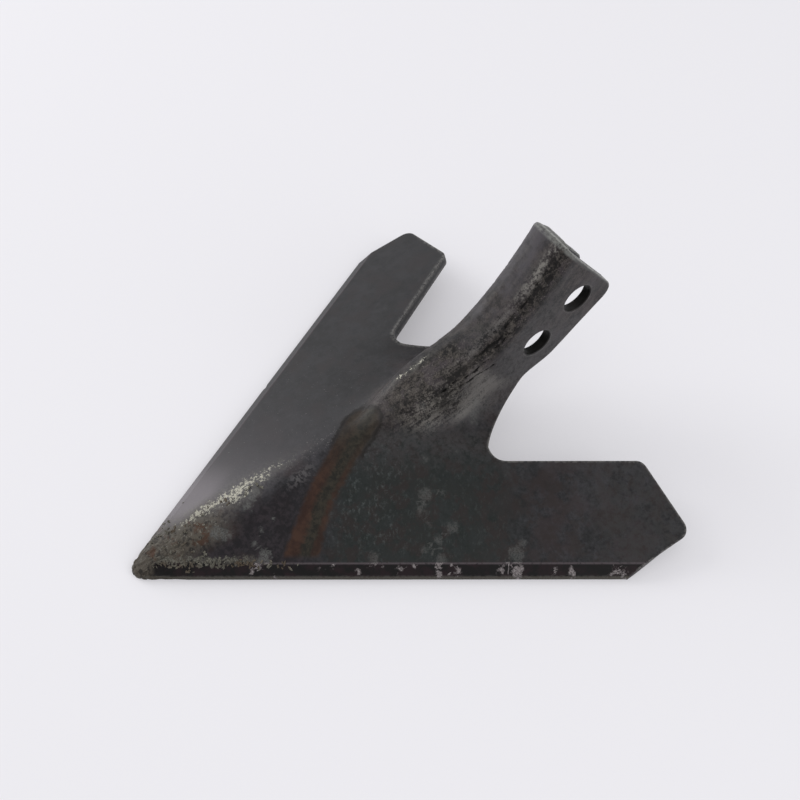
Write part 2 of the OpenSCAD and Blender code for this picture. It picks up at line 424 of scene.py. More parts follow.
lower = np.array([wing_row(q, q, top_z(q)) for q in wing_q] + [np.vstack([upper[0], tail])])
n_wing_rows = len(wing_q)
print("wing grid:", lower.shape)

# %% [markdown]
# ## The underside
#
# The plate is as thick below as above, so the underside is the same grid moved down square
# to the surface. Near the cutting edge it is moved straight down instead, so that the edge
# keeps its upright land and stands flat on the ground.

# %% Underside
SHIFT = PLATE * math.sin(WING_TILT)
SINK = SHIFT * INWARD - vec(0, 0, PLATE * math.cos(WING_TILT))
BLEND_ROWS = 6
UPRIGHT_TO = 12


def under_row(q):
    at = q + SHIFT * float(ease(q / UPRIGHT_TO))
    return wing_row(q, at, at * TAN_T)


under_q = WING_CHORD + SHIFT
under_last = np.vstack(
    [cross_row(vec(0, ridge_y(under_q), under_q * TAN_T), NOSE_HALF, NOTCH_MID + SINK), tail + SINK]
)
under_lower = np.array([under_row(q) for q in wing_q] + [under_last])

with_row_before = np.concatenate([lower[-2:-1, : N_SIDE + 1], upper])
mirrored = with_row_before[:, 1:2] * vec(-1, 1, 1)
du = np.gradient(np.concatenate([mirrored, with_row_before], axis=1), axis=1)[1:, 1:]
dv = np.gradient(with_row_before, axis=0)[1:]
square_to = unit(np.cross(du, dv))
firm_rows = np.r_[ease(fan_t / BLEND_ROWS), np.ones(len(stem_steps))][:, None, None]
under_upper = upper + mix(under_last[: N_SIDE + 1] - upper[0], -PLATE * square_to, firm_rows)
print("underside rows:", len(under_lower) + len(under_upper) - 1)

# %% [markdown]
# ## Soften what the tool softened
#
# The flat wing and the swept neck meet along one row of the grid. Hot plate takes no such
# line, so the rows next to it are relaxed: each point moves a little towards its two
# neighbours, again and again. The crease between web and crown is drawn out alike, and the
# top edge of the web is rounded by years of knocks.


# %% Relaxed neck
def relax(sheet, weight, steps):
    """Draw each row towards the line between its neighbours, by its weight."""
    for _ in range(steps):
        gap_a = np.linalg.norm(sheet[1:-1] - sheet[:-2], axis=2, keepdims=True)
        gap_b = np.linalg.norm(sheet[2:] - sheet[1:-1], axis=2, keepdims=True)
        between = (sheet[:-2] * gap_b + sheet[2:] * gap_a) / (gap_a + gap_b)
        sheet[1:-1] += weight[1:-1, :, None] * (between - sheet[1:-1])


PULL = 0.5
RELAX_STEPS, RELAX_BELOW, RELAX_ABOVE = 240, 14, 22
FADE_IN, FADE_OUT = 12, 14
columns = np.arange(N_SIDE + 1)
past_bend = columns - N_WEB - N_BEND
sheet = np.concatenate([lower[:-1, : N_SIDE + 1], upper])
before = sheet.copy()
row_weight = np.zeros(len(sheet))
row_weight[n_wing_rows - RELAX_BELOW : n_wing_rows + RELAX_ABOVE] = PULL
col_weight = ease(past_bend / FADE_IN) * ease((N_SIDE - columns) / FADE_OUT)
relax(sheet, row_weight[:, None] * col_weight, RELAX_STEPS)

# the web turns up into the stem in one long curve, so its crease is drawn out too
CREASE_STEPS, CREASE_HALF, CREASE_FADE = 44, 22, 20
crease_row = n_wing_rows + len(fan_t)
row_weight = np.zeros(len(sheet))
row_weight[crease_row - CREASE_HALF : crease_row + CREASE_HALF] = PULL
col_weight = 1 - ease(past_bend / CREASE_FADE)
relax(sheet, row_weight[:, None] * col_weight, CREASE_STEPS)
relaxed = sheet - before
for low_rows, up_rows in ((lower, upper), (under_lower, under_upper)):
    low_rows[:, : N_SIDE + 1] += relaxed[: n_wing_rows + 1]
    up_rows += relaxed[n_wing_rows:]
print(f"neck relaxed by up to {np.abs(relaxed).max():.2f} mm")

# %% Worn top edge of the web
TOP_ROUND = 1.7
FLANK_SPARED, SPARED_OVER = 0.7, N_BEND + 8
from_end = np.r_[np.full(len(fan_t), TOP_ROUND), np.minimum(stem_steps, TOP_ROUND)]
knocked = TOP_ROUND * (1 - np.sqrt(1 - (1 - from_end / TOP_ROUND) ** 2))
on_web = 1 - FLANK_SPARED * ease((columns - N_WEB) / SPARED_OVER)
upper -= (knocked[:, None] * on_web)[:, :, None] * square_to
print("top edge worn over", int((stem_steps < TOP_ROUND).sum()), "rows")

# %% [markdown]
# ## From half a grid to one closed plate
#
# Both halves are alike, so each row is mirrored. The edges of a sheared plate are never
# razor sharp: between top and underside the rim gets a small round at each edge. That round
# catches a thin line of light, which is most of what makes thick plate look thick.


# %% Both halves as one list of points
def whole(rows):
    return np.concatenate([(rows * vec(-1, 1, 1))[:, :0:-1], rows], axis=1)


n_wide = lower.shape[1] - 1
n_lower, n_upper = len(lower) - 1, len(upper) - 1
wide, slim = 2 * n_wide + 1, 2 * N_SIDE + 1
low_id = np.arange((n_lower + 1) * wide).reshape(n_lower + 1, wide)
up_new = np.arange(n_upper * slim).reshape(n_upper, slim) + low_id.size
up_id = np.vstack([low_id[n_lower, n_wide - N_SIDE : n_wide + N_SIDE + 1], up_new])


def as_points(low_rows, up_rows):
    return np.vstack([whole(low_rows).reshape(-1, 3), whole(up_rows[1:]).reshape(-1, 3)])


top_points = as_points(lower, upper)
under_points = as_points(under_lower, under_upper)
n_top = len(top_points)
print("points on each face:", n_top)


# %% Place of each point: bend distance and stem share
def bend_distance(rows):
    run = np.linalg.norm(np.diff(rows, axis=1), axis=2)
    run = np.concatenate([np.zeros((len(rows), 1)), np.cumsum(run, axis=1)], axis=1)
    return run - run[:, N_WEB : N_WEB + 1]


def mirrored_values(values):
    return np.concatenate([values[:, :0:-1], values], axis=1).ravel()


stem_share = np.r_[ease(fan_t / COARSE_FAN), np.ones(len(stem_steps))]
stem_share = np.repeat(stem_share[:, None], N_SIDE + 1, axis=1)
bend_mm = np.r_[mirrored_values(bend_distance(lower)), mirrored_values(bend_distance(upper)[1:])]
share = np.r_[np.zeros(low_id.size), mirrored_values(stem_share[1:])]
print("bend distance from", bend_mm.min().round(1), "to", bend_mm.max().round(1), "mm")

# %% The outline and its inner neighbours
end = wide - 1
near, far = n_wide + N_SIDE, n_wide - N_SIDE


def ring(k):
    """Ids of the rim for k = 0, of the points next to it for k = 1."""
    return np.r_[
        low_id[k],
        low_id[1:, end - k],
        low_id[n_lower - k, end - 1 : near - 1 : -1],
        up_id[1:, slim - 1 - k],
        up_id[n_upper - k, slim - 2 :: -1],
        up_id[n_upper - 1 : 0 : -1, k],
        low_id[n_lower - k, far::-1],
        low_id[n_lower - 1 : 0 : -1, k],
    ]


outline, inside = ring(0), ring(1)
print("points on the rim:", len(outline))

# %% Rounded rim
EDGE_ROUND, ROUND_ROOM = 0.5, 0.6


def way_in(points):
    """Direction from each rim point into its face, and the room for a round there."""
    rim = points[outline]
    run = unit(np.roll(rim, -1, axis=0) - np.roll(rim, 1, axis=0))
    inward = points[inside] - rim
    inward = inward - (inward * run).sum(1, keepdims=True) * run
    room = np.linalg.norm(inward, axis=1, keepdims=True)
    return inward / room, np.minimum(EDGE_ROUND, ROUND_ROOM * room)


top_rim, under_rim = top_points[outline], under_points[outline]
top_in, top_r = way_in(top_points)
under_in, under_r = way_in(under_points)
down = unit(under_rim - top_rim)
SOFT = 1 - math.sqrt(0.5)
rim_loops = [
    top_rim + SOFT * top_r * (top_in + down),
    top_rim + top_r * down,
    mix(top_rim + top_r * down, under_rim - under_r * down, 0.5),
    under_rim - under_r * down,
    under_rim + SOFT * under_r * (under_in - down),
]
top_points[outline] = top_rim + top_r * top_in
under_points[outline] = under_rim + under_r * under_in
print(f"rim rounded by up to {top_r.max():.2f} mm")


# %% Closed mesh
def quads(ids):
    return np.stack([ids[:-1, :-1], ids[:-1, 1:], ids[1:, 1:], ids[1:, :-1]], -1).reshape(-1, 4)


def strip(upper_loop, lower_loop):
    ahead = np.roll(lower_loop, -1), np.roll(upper_loop, -1)
    return np.stack([lower_loop, *ahead, upper_loop], -1)


n_rim = len(outline)
top_quads = np.vstack([quads(low_id), quads(up_id)])
loop_ids = [outline]
loop_ids += [2 * n_top + k * n_rim + np.arange(n_rim) for k in range(len(rim_loops))]
loop_ids += [outline + n_top]
faces = np.vstack(
    [top_quads, top_quads[:, ::-1] + n_top]
    + [strip(loop_ids[k], loop_ids[k + 1]) for k in range(len(loop_ids) - 1)]
)
points = np.vstack([top_points, under_points, *rim_loops])
is_under = np.r_[np.zeros(n_top), np.ones(n_top), np.zeros(n_rim * len(rim_loops))]
bend_mm = np.r_[bend_mm, bend_mm, np.tile(bend_mm[outline], len(rim_loops))]
share = np.r_[share, share, np.tile(share[outline], len(rim_loops))]
print("plate:", len(points), "points,", len(faces), "faces")

# %% [markdown]
# ## Drilling the bolt holes
#
# The holes go through both flanges at once, and their edges are broken with a small
# countersink. A Boolean modifier with one turned cutter per hole does both. The cutter is a
# lathe profile: the hole's radius inside each flange, and a little wider where it leaves.

# %% Meshes from points, in metres and centred
MM = 1000
CENTRE = vec(0, Y_MID, 0)


def to_metres(pts):
    return (pts - CENTRE) / MM


def show(name, mesh):
    obj = bpy.data.objects.new(name, mesh)
    bpy.context.scene.collection.objects.link(obj)
    return obj


def show_points(name, pts, polygons):
    mesh = bpy.data.meshes.new(name)
    mesh.from_pydata(to_metres(pts), [], polygons)
    mesh.update()
    return show(name, mesh)


def baked(obj, name):
    """The mesh that the object's modifiers make. The object itself is removed."""
    done = obj.evaluated_get(bpy.context.evaluated_depsgraph_get())
    mesh = bpy.data.meshes.new_from_object(done)
    bpy.data.objects.remove(obj)
    mesh.name = name
    return mesh


blank = show_points("plate_blank", points, faces.tolist())
print("blank:", len(blank.data.polygons), "faces")

# %% Drilled plate
COUNTERSINK, CUTTER_OUT = 0.45, 1.0
CUTTER_SIDES = 72
INNER_W = HALF_W - PLATE
half_profile = [
    (INNER_W, HOLE_R + COUNTERSINK),
    (INNER_W + COUNTERSINK, HOLE_R),
    (HALF_W - COUNTERSINK, HOLE_R),
    (HALF_W + CUTTER_OUT, HOLE_R + COUNTERSINK + CUTTER_OUT),
]
profile = [(-x, r) for x, r in half_profile[::-1]] + half_profile


def hole_cutter(a):
    centre = on_stem(0, a, HOLE_REAR)
    turn = np.linspace(0, 2 * np.pi, CUTTER_SIDES, endpoint=False)
    rings = [centre + np.stack([np.full_like(turn, x), r * np.cos(turn), r * np.sin(turn)], -1)
             for x, r in profile]
    ids = np.arange(len(profile) * CUTTER_SIDES).reshape(len(profile), CUTTER_SIDES)
    sides = [strip(ids[k + 1], ids[k]) for k in range(len(profile) - 1)]
    polygons = [list(f) for s in sides for f in s] + [list(ids[0][::-1]), list(ids[-1])]
    return show_points("hole_cutter", np.vstack(rings), polygons)


cutters = [hole_cutter(a) for a in HOLE_AT]
for cutter in cutters:
    drill = blank.modifiers.new("drill", "BOOLEAN")
    drill.operation, drill.solver, drill.object = "DIFFERENCE", "EXACT", cutter
drilled = baked(blank, "drilled_plate")
for spent in cutters:
    bpy.data.objects.remove(spent)
print("drilled plate:", len(drilled.vertices), "points,", len(drilled.polygons), "faces")

# %% [markdown]
# ## Places as attributes
#
# Rust, cracks and wear belong to places: along the ridge, in the bend, on the bevel. Each
# point therefore keeps its place in the two local frames as named attributes, in
# millimetres, and both Geometry Nodes and the material read them. A place is a smooth
# number, so an edge drawn from it stays crisp even between the points of the mesh.


# %% Where each drilled point lies
def finder(pts):
    tree = KDTree(len(pts))
    for i, p in enumerate(to_metres(pts)):
        tree.insert(p, i)
    tree.balance()
    return tree


point_finder = finder(points)
rim_finder = finder(np.vstack([rim_loops[0], rim_loops[-1]]))
co = np.zeros(len(drilled.vertices) * 3, np.float32)
drilled.vertices.foreach_get("co", co)
co = co.reshape(-1, 3)
source = np.array([point_finder.find(p)[1] for p in co])
edge_mm = np.array([rim_finder.find(p)[2] for p in co]) * MM
spot = co * MM + CENTRE
side = np.abs(spot[:, 0])
wing_place = np.stack(
    [side * SIN_W + spot[:, 1] * COS_W, spot[:, 1] * SIN_W - side * COS_W, spot[:, 0]], -1
)
stem_place = np.stack([-(spot - STEM_TOP) @ AXIS_UP, bend_mm[source], share[source]], -1)
print("places found for", len(co), "points")


# %% Attributes of the drilled plate
def keep_place(name, values):
    kind = "FLOAT_VECTOR" if values.ndim == 2 else "FLOAT"
    layer = drilled.attributes.new(name, kind, "POINT")
    layer.data.foreach_set("vector" if values.ndim == 2 else "value",
                           values.astype(np.float32).ravel())


centres = [on_stem(0, a, HOLE_REAR)[1:] for a in HOLE_AT]
bore_mm = np.min([np.linalg.norm(spot[:, 1:] - c, axis=1) for c in centres], axis=0) - HOLE_R
keep_place("wing_place", wing_place)
keep_place("stem_place", stem_place)
keep_place("edge_mm", edge_mm)
keep_place("is_under", is_under[source])
keep_place("bore_mm", bore_mm)
print("attributes:", [layer.name for layer in drilled.attributes if layer.name.islower()])

# %% [markdown]
# ## Marks that belong to one place
#
# A brown temper band crosses the near wing and ends in a round head on the ridge. Cracks
# follow the near bend of the stem, where the hot plate was folded tightest. Pale scale has
# chipped off the bevel and sits in blots on the near wing, and a few blots on the neck's
# near flank are a painted highlight. Bands and cracks are lines with a width, so each point
# keeps its distance to the line. A blot is kept as the way to its centre, which stays exact
# between the points of the mesh.


# %% Distance to a line of straight pieces
def line_distance(flat, line, radii):
    """Per 2-D point: distance to the line's skin, share of the way along, way off to its left."""
    best = np.full(len(flat), np.inf)
    run, left = np.zeros(len(flat)), np.zeros(len(flat))
    for k in range(len(line) - 1):
        p, d = vec(*line[k]), vec(*line[k + 1]) - vec(*line[k])
        t = np.clip(((flat - p) @ d) / (d @ d), 0, 1)
        away = np.linalg.norm(flat - p - t[:, None] * d, axis=1) - mix(radii[k], radii[k + 1], t)
        aside = (d[0] * (flat - p)[:, 1] - d[1] * (flat - p)[:, 0]) / np.linalg.norm(d)
        run = np.where(away < best, (k + t) / (len(line) - 1), run)
        left = np.where(away < best, aside, left)
        best = np.minimum(best, away)
    return best, run, left


NOWHERE = 50.0
on_top = is_under[source] < 0.5
BAND_LINE = [(34.0, 61.0), (29.8, 65.7), (16.1, 81.0), (4.8, 100.4), (-1.6, 111.6)]
BAND_HALF = [6.9, 6.7, 5.6, 6.0, 7.3]
band_mm, band_run, band_left = line_distance(spot[:, :2], BAND_LINE, BAND_HALF)
keep_place("band", np.stack([np.where(on_top, band_mm, NOWHERE), band_run, band_left], -1))
print("points in the band:", int((band_mm < 0).sum()))

# %% Cracks in the near bend: way down the stem, way across the bend, half width
CRACKS = [
    ([(53.6, -1.4), (50.2, -0.5), (47.0, -0.7), (44.0, 0.5), (39.4, 0.9)], 0.42),
    ([(46.5, 1.8), (42.5, 2.4), (38.6, 2.1)], 0.26),
    ([(67.2, 5.4), (63.0, 6.8), (59.6, 6.4), (55.8, 8.3), (52.6, 8.8)], 0.40),
    ([(62.5, 3.0), (58.0, 3.6), (54.0, 3.2), (50.6, 4.2)], 0.30),
    ([(37.5, -0.9), (31.0, -1.5), (25.0, -1.0), (17.5, -1.7), (9.5, -1.3)], 0.22),
    ([(72.0, 2.0), (68.0, 1.2), (64.5, 1.6)], 0.28),
]
STEM_FROM = 0.2
crack_mm = np.full(len(spot), NOWHERE)
for line, half in CRACKS:
    crack_mm = np.minimum(crack_mm, line_distance(stem_place[:, :2], line, [half] * len(line))[0])
in_near_stem = on_top & (spot[:, 0] > 0) & (stem_place[:, 2] > STEM_FROM)
crack_mm = np.where(in_near_stem, crack_mm, NOWHERE)
keep_place("crack_mm", crack_mm)
print("points in cracks:", int((crack_mm < 0).sum()))

# %% Blots of scale on the near wing, and a painted highlight on the neck's near flank: along the edge, across the wing, radius
BLOTS = [
    (51.8, 1.6, 1.1), (60.7, 0.3, 0.6), (78.5, 2.6, 0.6), (83.5, 3.2, 0.5), (93.6, 1.5, 0.8),
    (103.2, 3.4, 0.6), (109.9, 2.4, 0.9), (115.5, 3.5, 0.6), (125.6, 0.7, 1.2), (132.6, 1.7, 1.4),
    (150.0, 2.6, 1.3), (156.0, 1.8, 2.3), (171.0, 1.9, 0.8), (177.5, 1.4, 1.1), (193.7, 1.8, 1.2),
    (198.0, 1.2, 1.2),
    (36.9, 15.5, 2.8), (42.0, 14.5, 2.1), (52.6, 11.5, 1.4), (52.5, 31.2, 2.4), (49.5, 26.0, 2.6),
    (56.5, 6.4, 3.2), (55.0, 16.9, 0.9), (59.5, 20.8, 0.9), (120.5, 30.2, 2.9), (118.4, 24.4, 2.4),
    (111.8, 31.0, 0.9), (120.6, 44.2, 1.6), (127.5, 30.6, 1.3), (133.8, 47.7, 1.1),
    (131.0, 17.3, 2.4), (121.8, 18.8, 1.2), (119.4, 8.8, 1.8), (125.2, 12.7, 2.0),
    (126.0, 5.8, 2.4), (99.6, 5.8, 2.4), (156.0, 7.5, 3.5), (158.6, 11.8, 1.6),
    # the blots at 142.4, 141.6 and 140.7 mm along, 60 to 67 mm across, are a painted highlight on
    # the neck's near flank
    (119.6, 60.5, 1.3), (122.3, 57.0, 0.9), (142.4, 67.4, 2.2), (141.6, 64.0, 2.6),
    (140.7, 60.4, 1.8), (95.0, 63.0, 1.0),
]
BLOT_REACH, BLOTS_FROM_X = 1.6, -2.0
blots = np.array(BLOTS)
to_blot = wing_place[:, None, :2] - blots[None, :, :2]
nearest = np.argmin(np.linalg.norm(to_blot, axis=2) - blots[:, 2], axis=1)
blot = np.c_[to_blot[np.arange(len(spot)), nearest], blots[nearest, 2]]
too_far = np.linalg.norm(blot[:, :2], axis=1) > blot[:, 2] + BLOT_REACH
blot[too_far | ~on_top | (spot[:, 0] < BLOTS_FROM_X)] = (NOWHERE, NOWHERE, 0.0)
keep_place("blot", blot)
print("blots placed:", len(BLOTS))

# %% [markdown]
# ## Helpers for node trees
#
# Geometry Nodes and materials are both graphs, and many of their nodes are the same. A few
# helpers place a node, set its values and link its inputs, so the recipes below read like
# formulas.


# %% Node helpers
def feed(tree, node, feeds):
    for key, value in feeds.items():
        if isinstance(value, bpy.types.NodeSocket):
            tree.links.new(value, node.inputs[key])
        else:
            node.inputs[key].default_value = value


def add_node(tree, kind, feeds=None, **settings):
    node = tree.nodes.new(kind)
    for key, value in settings.items():
        setattr(node, key, value)
    feed(tree, node, feeds or {})
    return node


def calc(tree, operation, a, b=0.0, c=0.0):
    return add_node(tree, "ShaderNodeMath", {0: a, 1: b, 2: c}, operation=operation).outputs[0]


def times(tree, *factors):
    total = factors[0]
    for factor in factors[1:]:
        total = calc(tree, "MULTIPLY", total, factor)
    return total


def most(tree, *values):
    top = values[0]
    for value in values[1:]:
        top = calc(tree, "MAXIMUM", top, value)
    return top


print("first node helpers ready")


# %% Helpers for places and noises
def soft_step(tree, value, low, high):
    """0 below low, 1 above high, smooth between. With low above high it falls instead."""
    feeds = {0: value, 1: low, 2: high}
    return add_node(tree, "ShaderNodeMapRange", feeds, interpolation_type="SMOOTHSTEP").outputs[0]


def hump(tree, value, centre, reach):
    """1 at centre, falling to 0 at reach on both sides."""
    away = calc(tree, "ABSOLUTE", calc(tree, "SUBTRACT", value, centre))
    return soft_step(tree, away, reach, 0.0)


def stretch(tree, vector, by):
    feeds = {0: vector, 1: by}
    return add_node(tree, "ShaderNodeVectorMath", feeds, operation="MULTIPLY").outputs[0]


def noise(tree, place, per_mm, detail=3.0, rough=0.55, seed=0.0):
    shift = (seed, 1.7 * seed, -seed)
    moved = add_node(tree, "ShaderNodeVectorMath", {0: place, 1: shift}, operation="ADD").outputs[0]
    feeds = {"Vector": moved, "Scale": per_mm, "Detail": detail, "Roughness": rough}
    return add_node(tree, "ShaderNodeTexNoise", feeds).outputs[0]


def split(tree, vector):
    return add_node(tree, "ShaderNodeSeparateXYZ", {0: vector}).outputs


def length_2d(tree, a, b):
    return calc(tree, "SQRT", calc(tree, "ADD", times(tree, a, a), times(tree, b, b)))


MM_PER_M = (MM, MM, MM)
print("node helpers ready")

# %% [markdown]
# ## Reading the places in a node tree
#
# Relief, crumbs and finishes all ask where a point lies, so one small class reads the kept
# attributes once per tree. A mask is a product of soft steps on them: `s=(70, 92)` fades
# in from 70 to 92 mm along the edge, `s=(92, 70)` fades out.


# %% Places of a point, and masks made of them
class Places:
    """The places that a node tree reads."""

    def __init__(self, tree):
        self.tree = tree
        self.wing_place = self.read("wing_place", "FLOAT_VECTOR")
        self.stem_place = self.read("stem_place", "FLOAT_VECTOR")
        self.s, self.q, self.x = split(tree, self.wing_place)
        self.a, self.bend, self.stem = split(tree, self.stem_place)
        self.above = soft_step(tree, self.read("is_under"), 0.6, 0.4)

    def read(self, name, kind="FLOAT"):
        if self.tree.type == "GEOMETRY":
            node = "GeometryNodeInputNamedAttribute"
            return add_node(self.tree, node, {"Name": name}, data_type=kind).outputs[0]
        output = "Fac" if kind == "FLOAT" else "Vector"
        return add_node(self.tree, "ShaderNodeAttribute", attribute_name=name).outputs[output]

    def scaled(self, value, by, plus=0.0):
        return calc(self.tree, "MULTIPLY_ADD", value, by, plus)

    def at(self, value, centre, reach):
        return hump(self.tree, value, centre, reach)

    def mask(self, *parts, **places):
        """Product of the parts, and of one soft step or a list of them on each place."""
        for name, steps in places.items():
            for low, high in steps if isinstance(steps, list) else [steps]:
                parts += (soft_step(self.tree, getattr(self, name), low, high),)
        return times(self.tree, *parts)


print("places are read once per tree")

# %% [markdown]
# ## Weathering the plate with Geometry Nodes
#
# Forged plate is never flat: the tool leaves slow waves, scale leaves pits where the metal
# was hottest, the band is pressed in a little, cracks gape, the nose crumbles, and the far
# wing has a faint ring and a nick. One tree reads the places, adds those depths together
# and pushes every point inward along its normal. Inward only, so the plate can't grow past
# the solid.


# %% A Geometry Nodes tree with named inputs
def tree_with(name, sockets):
    tree = bpy.data.node_groups.new(name, "GeometryNodeTree")
    tree.interface.new_socket("Geometry", in_out="INPUT", socket_type="NodeSocketGeometry")
    ids = {}
    for label, kind in sockets:
        ids[label] = tree.interface.new_socket(label, in_out="INPUT", socket_type=kind).identifier
    tree.interface.new_socket("Geometry", in_out="OUTPUT", socket_type="NodeSocketGeometry")
    return tree, ids


def run_tree(obj, tree, ids, values):
    modifier = obj.modifiers.new(tree.name, "NODES")
    modifier.node_group = tree
    for label, value in values.items():
        modifier[ids[label]] = value


def finish_tree(tree, geometry, material):
    real = add_node(tree, "GeometryNodeRealizeInstances", {"Geometry": geometry}).outputs[0]
    done = add_node(tree, "GeometryNodeSetMaterial", {"Geometry": real, "Material": material})
    add_node(tree, "NodeGroupOutput", {"Geometry": done.outputs[0]})


print("tree helpers ready")

# %% Parts of the relief
# far wing: a faint ring (along, across, radius) and a nick in the cutting edge
RING_DENT = (167.4, 28.0, 2.6)
NICK_S = 108.7


def scaly_part(p):
    in_bend = p.mask(p.stem, p.at(p.bend, 0.5, 9))
    on_crown = p.mask(a=[(48, 66), (98, 84)], bend=(16, 6))
    return most(p.tree, in_bend, on_crown)


def dents(p):
    ring_s, ring_q, ring_r = RING_DENT
    to_ring = length_2d(p.tree, p.scaled(p.s, 1.0, -ring_s), p.scaled(p.q, 1.0, -ring_q))
    nick = p.mask(p.mask(p.at(p.s, NICK_S, 1.5), q=(3.4, 0.4)), 2.2)
    both = calc(p.tree, "ADD", p.at(to_ring, ring_r, 1.6), nick)
    return p.mask(p.mask(both, x=(-1, -2)), p.above)


print("ring dent at", RING_DENT[:2], "nick at", NICK_S)


# %% The relief tree
def relief_tree():
    labels = ["Wave", "Pit", "Band", "Crack", "Crumble", "Dent"]
    sockets = [(f"{label} depth", "NodeSocketFloat") for label in labels]
    tree, ids = tree_with("forged_relief", sockets + [("Material", "NodeSocketMaterial")])
    start = add_node(tree, "NodeGroupInput").outputs
    mm = stretch(tree, add_node(tree, "GeometryNodeInputPosition").outputs[0], MM_PER_M)
    p = Places(tree)

    wave = p.mask(noise(tree, mm, 0.045, 2.0), p.scaled(p.stem, 0.7, 0.3))
    p.pits = noise(tree, mm, 0.42, 4.0, 0.65, 3.0)
    pit = p.mask(p.mask(pits=(0.47, 0.64)), scaly_part(p), p.above)
    p.to_band = split(tree, p.read("band", "FLOAT_VECTOR"))[0]
    band = p.mask(to_band=(0.6, -0.9), q=(6.0, 8.5))
    ragged = p.scaled(noise(tree, mm, 0.9, 2.0, 0.6, 7.0), 1.6, -0.8)
    p.to_crack = calc(tree, "ADD", p.read("crack_mm"), ragged)
    crack = p.mask(to_crack=(0.55, -0.35))
    front = p.mask(p.at(p.q, 3.7, 3.0), s=(66, 36), x=(-4, 2))
    p.lumps = noise(tree, mm, 0.45, 3.0, 0.6, 11.0)
    crumble = p.mask(p.mask(lumps=(0.42, 0.6)), most(tree, p.mask(s=(30, 12)), front), p.above)

    depth = 0.0
    for label, part in zip(labels, (wave, pit, band, crack, crumble, dents(p))):
        depth = calc(tree, "MULTIPLY_ADD", part, start[f"{label} depth"], depth)
    normal = add_node(tree, "GeometryNodeInputNormal").outputs[0]
    inward = calc(tree, "MULTIPLY", depth, -1 / MM)
    push = add_node(tree, "ShaderNodeVectorMath", {0: normal, "Scale": inward}, operation="SCALE")
    moved = add_node(tree, "GeometryNodeSetPosition",
                     {"Geometry": start["Geometry"], "Offset": push.outputs[0]}).outputs[0]
    finish_tree(tree, moved, start["Material"])
    return tree, ids


relief, relief_ids = relief_tree()
print("relief tree:", len(relief.nodes), "nodes")

# %% [markdown]
# ## The oxide skin
#
# The plate came out of the furnace with a thin blue-black oxide, cloudy and finely grained.
# It is a node group, because the loose flakes of scale later wear the same skin. It gives
# out a colour and the two noises behind it, never a shader.


# %% Shader group: cloudy oxide
def rgb(r, g, b):
    return (r, g, b, 1.0)


def paint(tree, colour, share, over):
    """Lay the colour `over` on `colour` where share is 1."""
    feeds = {0: share, 6: colour, 7: over}
    return add_node(tree, "ShaderNodeMix", feeds, data_type="RGBA", blend_type="MIX").outputs[2]


def oxide_group():
    tree = bpy.data.node_groups.new("cloudy_oxide", "ShaderNodeTree")
    face = tree.interface
    face.new_socket("Place mm", in_out="INPUT", socket_type="NodeSocketVector")
    for label in ("Dark", "Pale", "Tint"):
        face.new_socket(label, in_out="INPUT", socket_type="NodeSocketColor")
    face.new_socket("Colour", in_out="OUTPUT", socket_type="NodeSocketColor")
    for label in ("Cloud", "Grain"):
        face.new_socket(label, in_out="OUTPUT", socket_type="NodeSocketFloat")
    start = add_node(tree, "NodeGroupInput").outputs
    place = start["Place mm"]
    cloud = noise(tree, place, 0.05, 4.0, 0.6)
    grain = noise(tree, place, 0.7, 5.0, 0.7, 5.0)
    mottle = noise(tree, place, 0.2, 4.0, 0.65, 23.0)
    tone = calc(tree, "MULTIPLY_ADD", mottle, 0.4, times(tree, cloud, 0.35))
    tone = calc(tree, "MULTIPLY_ADD", grain, 0.35, tone)
    colour = paint(tree, start["Dark"], soft_step(tree, tone, 0.43, 0.70), start["Pale"])
    warm = soft_step(tree, noise(tree, place, 0.075, 4.0, 0.6, 21.0), 0.46, 0.62)
    colour = paint(tree, colour, times(tree, warm, 0.7), start["Tint"])
    add_node(tree, "NodeGroupOutput", {"Colour": colour, "Cloud": cloud, "Grain": grain})
    return tree


cloudy_oxide = oxide_group()
print("shader group:", cloudy_oxide.name)


# %% A new material, its place in millimetres and its oxide
def new_material(name):
    material = bpy.data.materials.new(name)
    material.use_nodes = True
    return material, material.node_tree, material.node_tree.nodes["Principled BSDF"]


def object_mm(tree):
    return stretch(tree, add_node(tree, "ShaderNodeTexCoord").outputs["Object"], MM_PER_M)


def oxide_node(tree, mm, dark, pale, tint):
    feeds = {"Place mm": mm, "Dark": rgb(*dark), "Pale": rgb(*pale), "Tint": rgb(*tint)}
    return add_node(tree, "ShaderNodeGroup", feeds, node_tree=cloudy_oxide).outputs


print("material helpers ready")

# %% [markdown]
# ## Painting on the oxide
#
# A material reads the same places, and adds a few noises of different size and the colour
# painted so far. From then on every finish is a small function that lays named tones on
# places.

# %% Noises, tones and the colour so far
TONES = {}
PLATE_OXIDE = ((0.0065, 0.0065, 0.0075), (0.040, 0.038, 0.043), (0.030, 0.021, 0.022))


class Finish(Places):
    """Places with the noises that the finishes share, and the colour painted so far."""

    def __init__(self, tree):
        super().__init__(tree)
        self.mm = object_mm(tree)
        self.edge, self.bore = self.read("edge_mm"), self.read("bore_mm")
        self.fine = noise(tree, self.mm, 1.7, 4.0, 0.65, 9.0)
        self.ragged = noise(tree, self.mm, 0.42, 5.0, 0.72, 17.0)
        self.blotch = noise(tree, self.mm, 0.15, 5.0, 0.65, 13.0)
        self.colour, self.cloud, self.grain = oxide_node(tree, self.mm, *PLATE_OXIDE)

    def wobble(self, place, by):
        """The place with ragged noise on it, so that its contour lines wander."""
        return self.scaled(calc(self.tree, "SUBTRACT", self.ragged, 0.5), by, place)

    def over(self, under, mask, top):
        """One colour over another; each is the name of a tone or a socket."""
        under, top = (rgb(*TONES[c]) if isinstance(c, str) else c for c in (under, top))
        return paint(self.tree, under, mask, top)

    def lay(self, top, mask, share=1.0):
        self.colour = self.over(self.colour, times(self.tree, mask, share), top)


print("plate oxide:", PLATE_OXIDE)
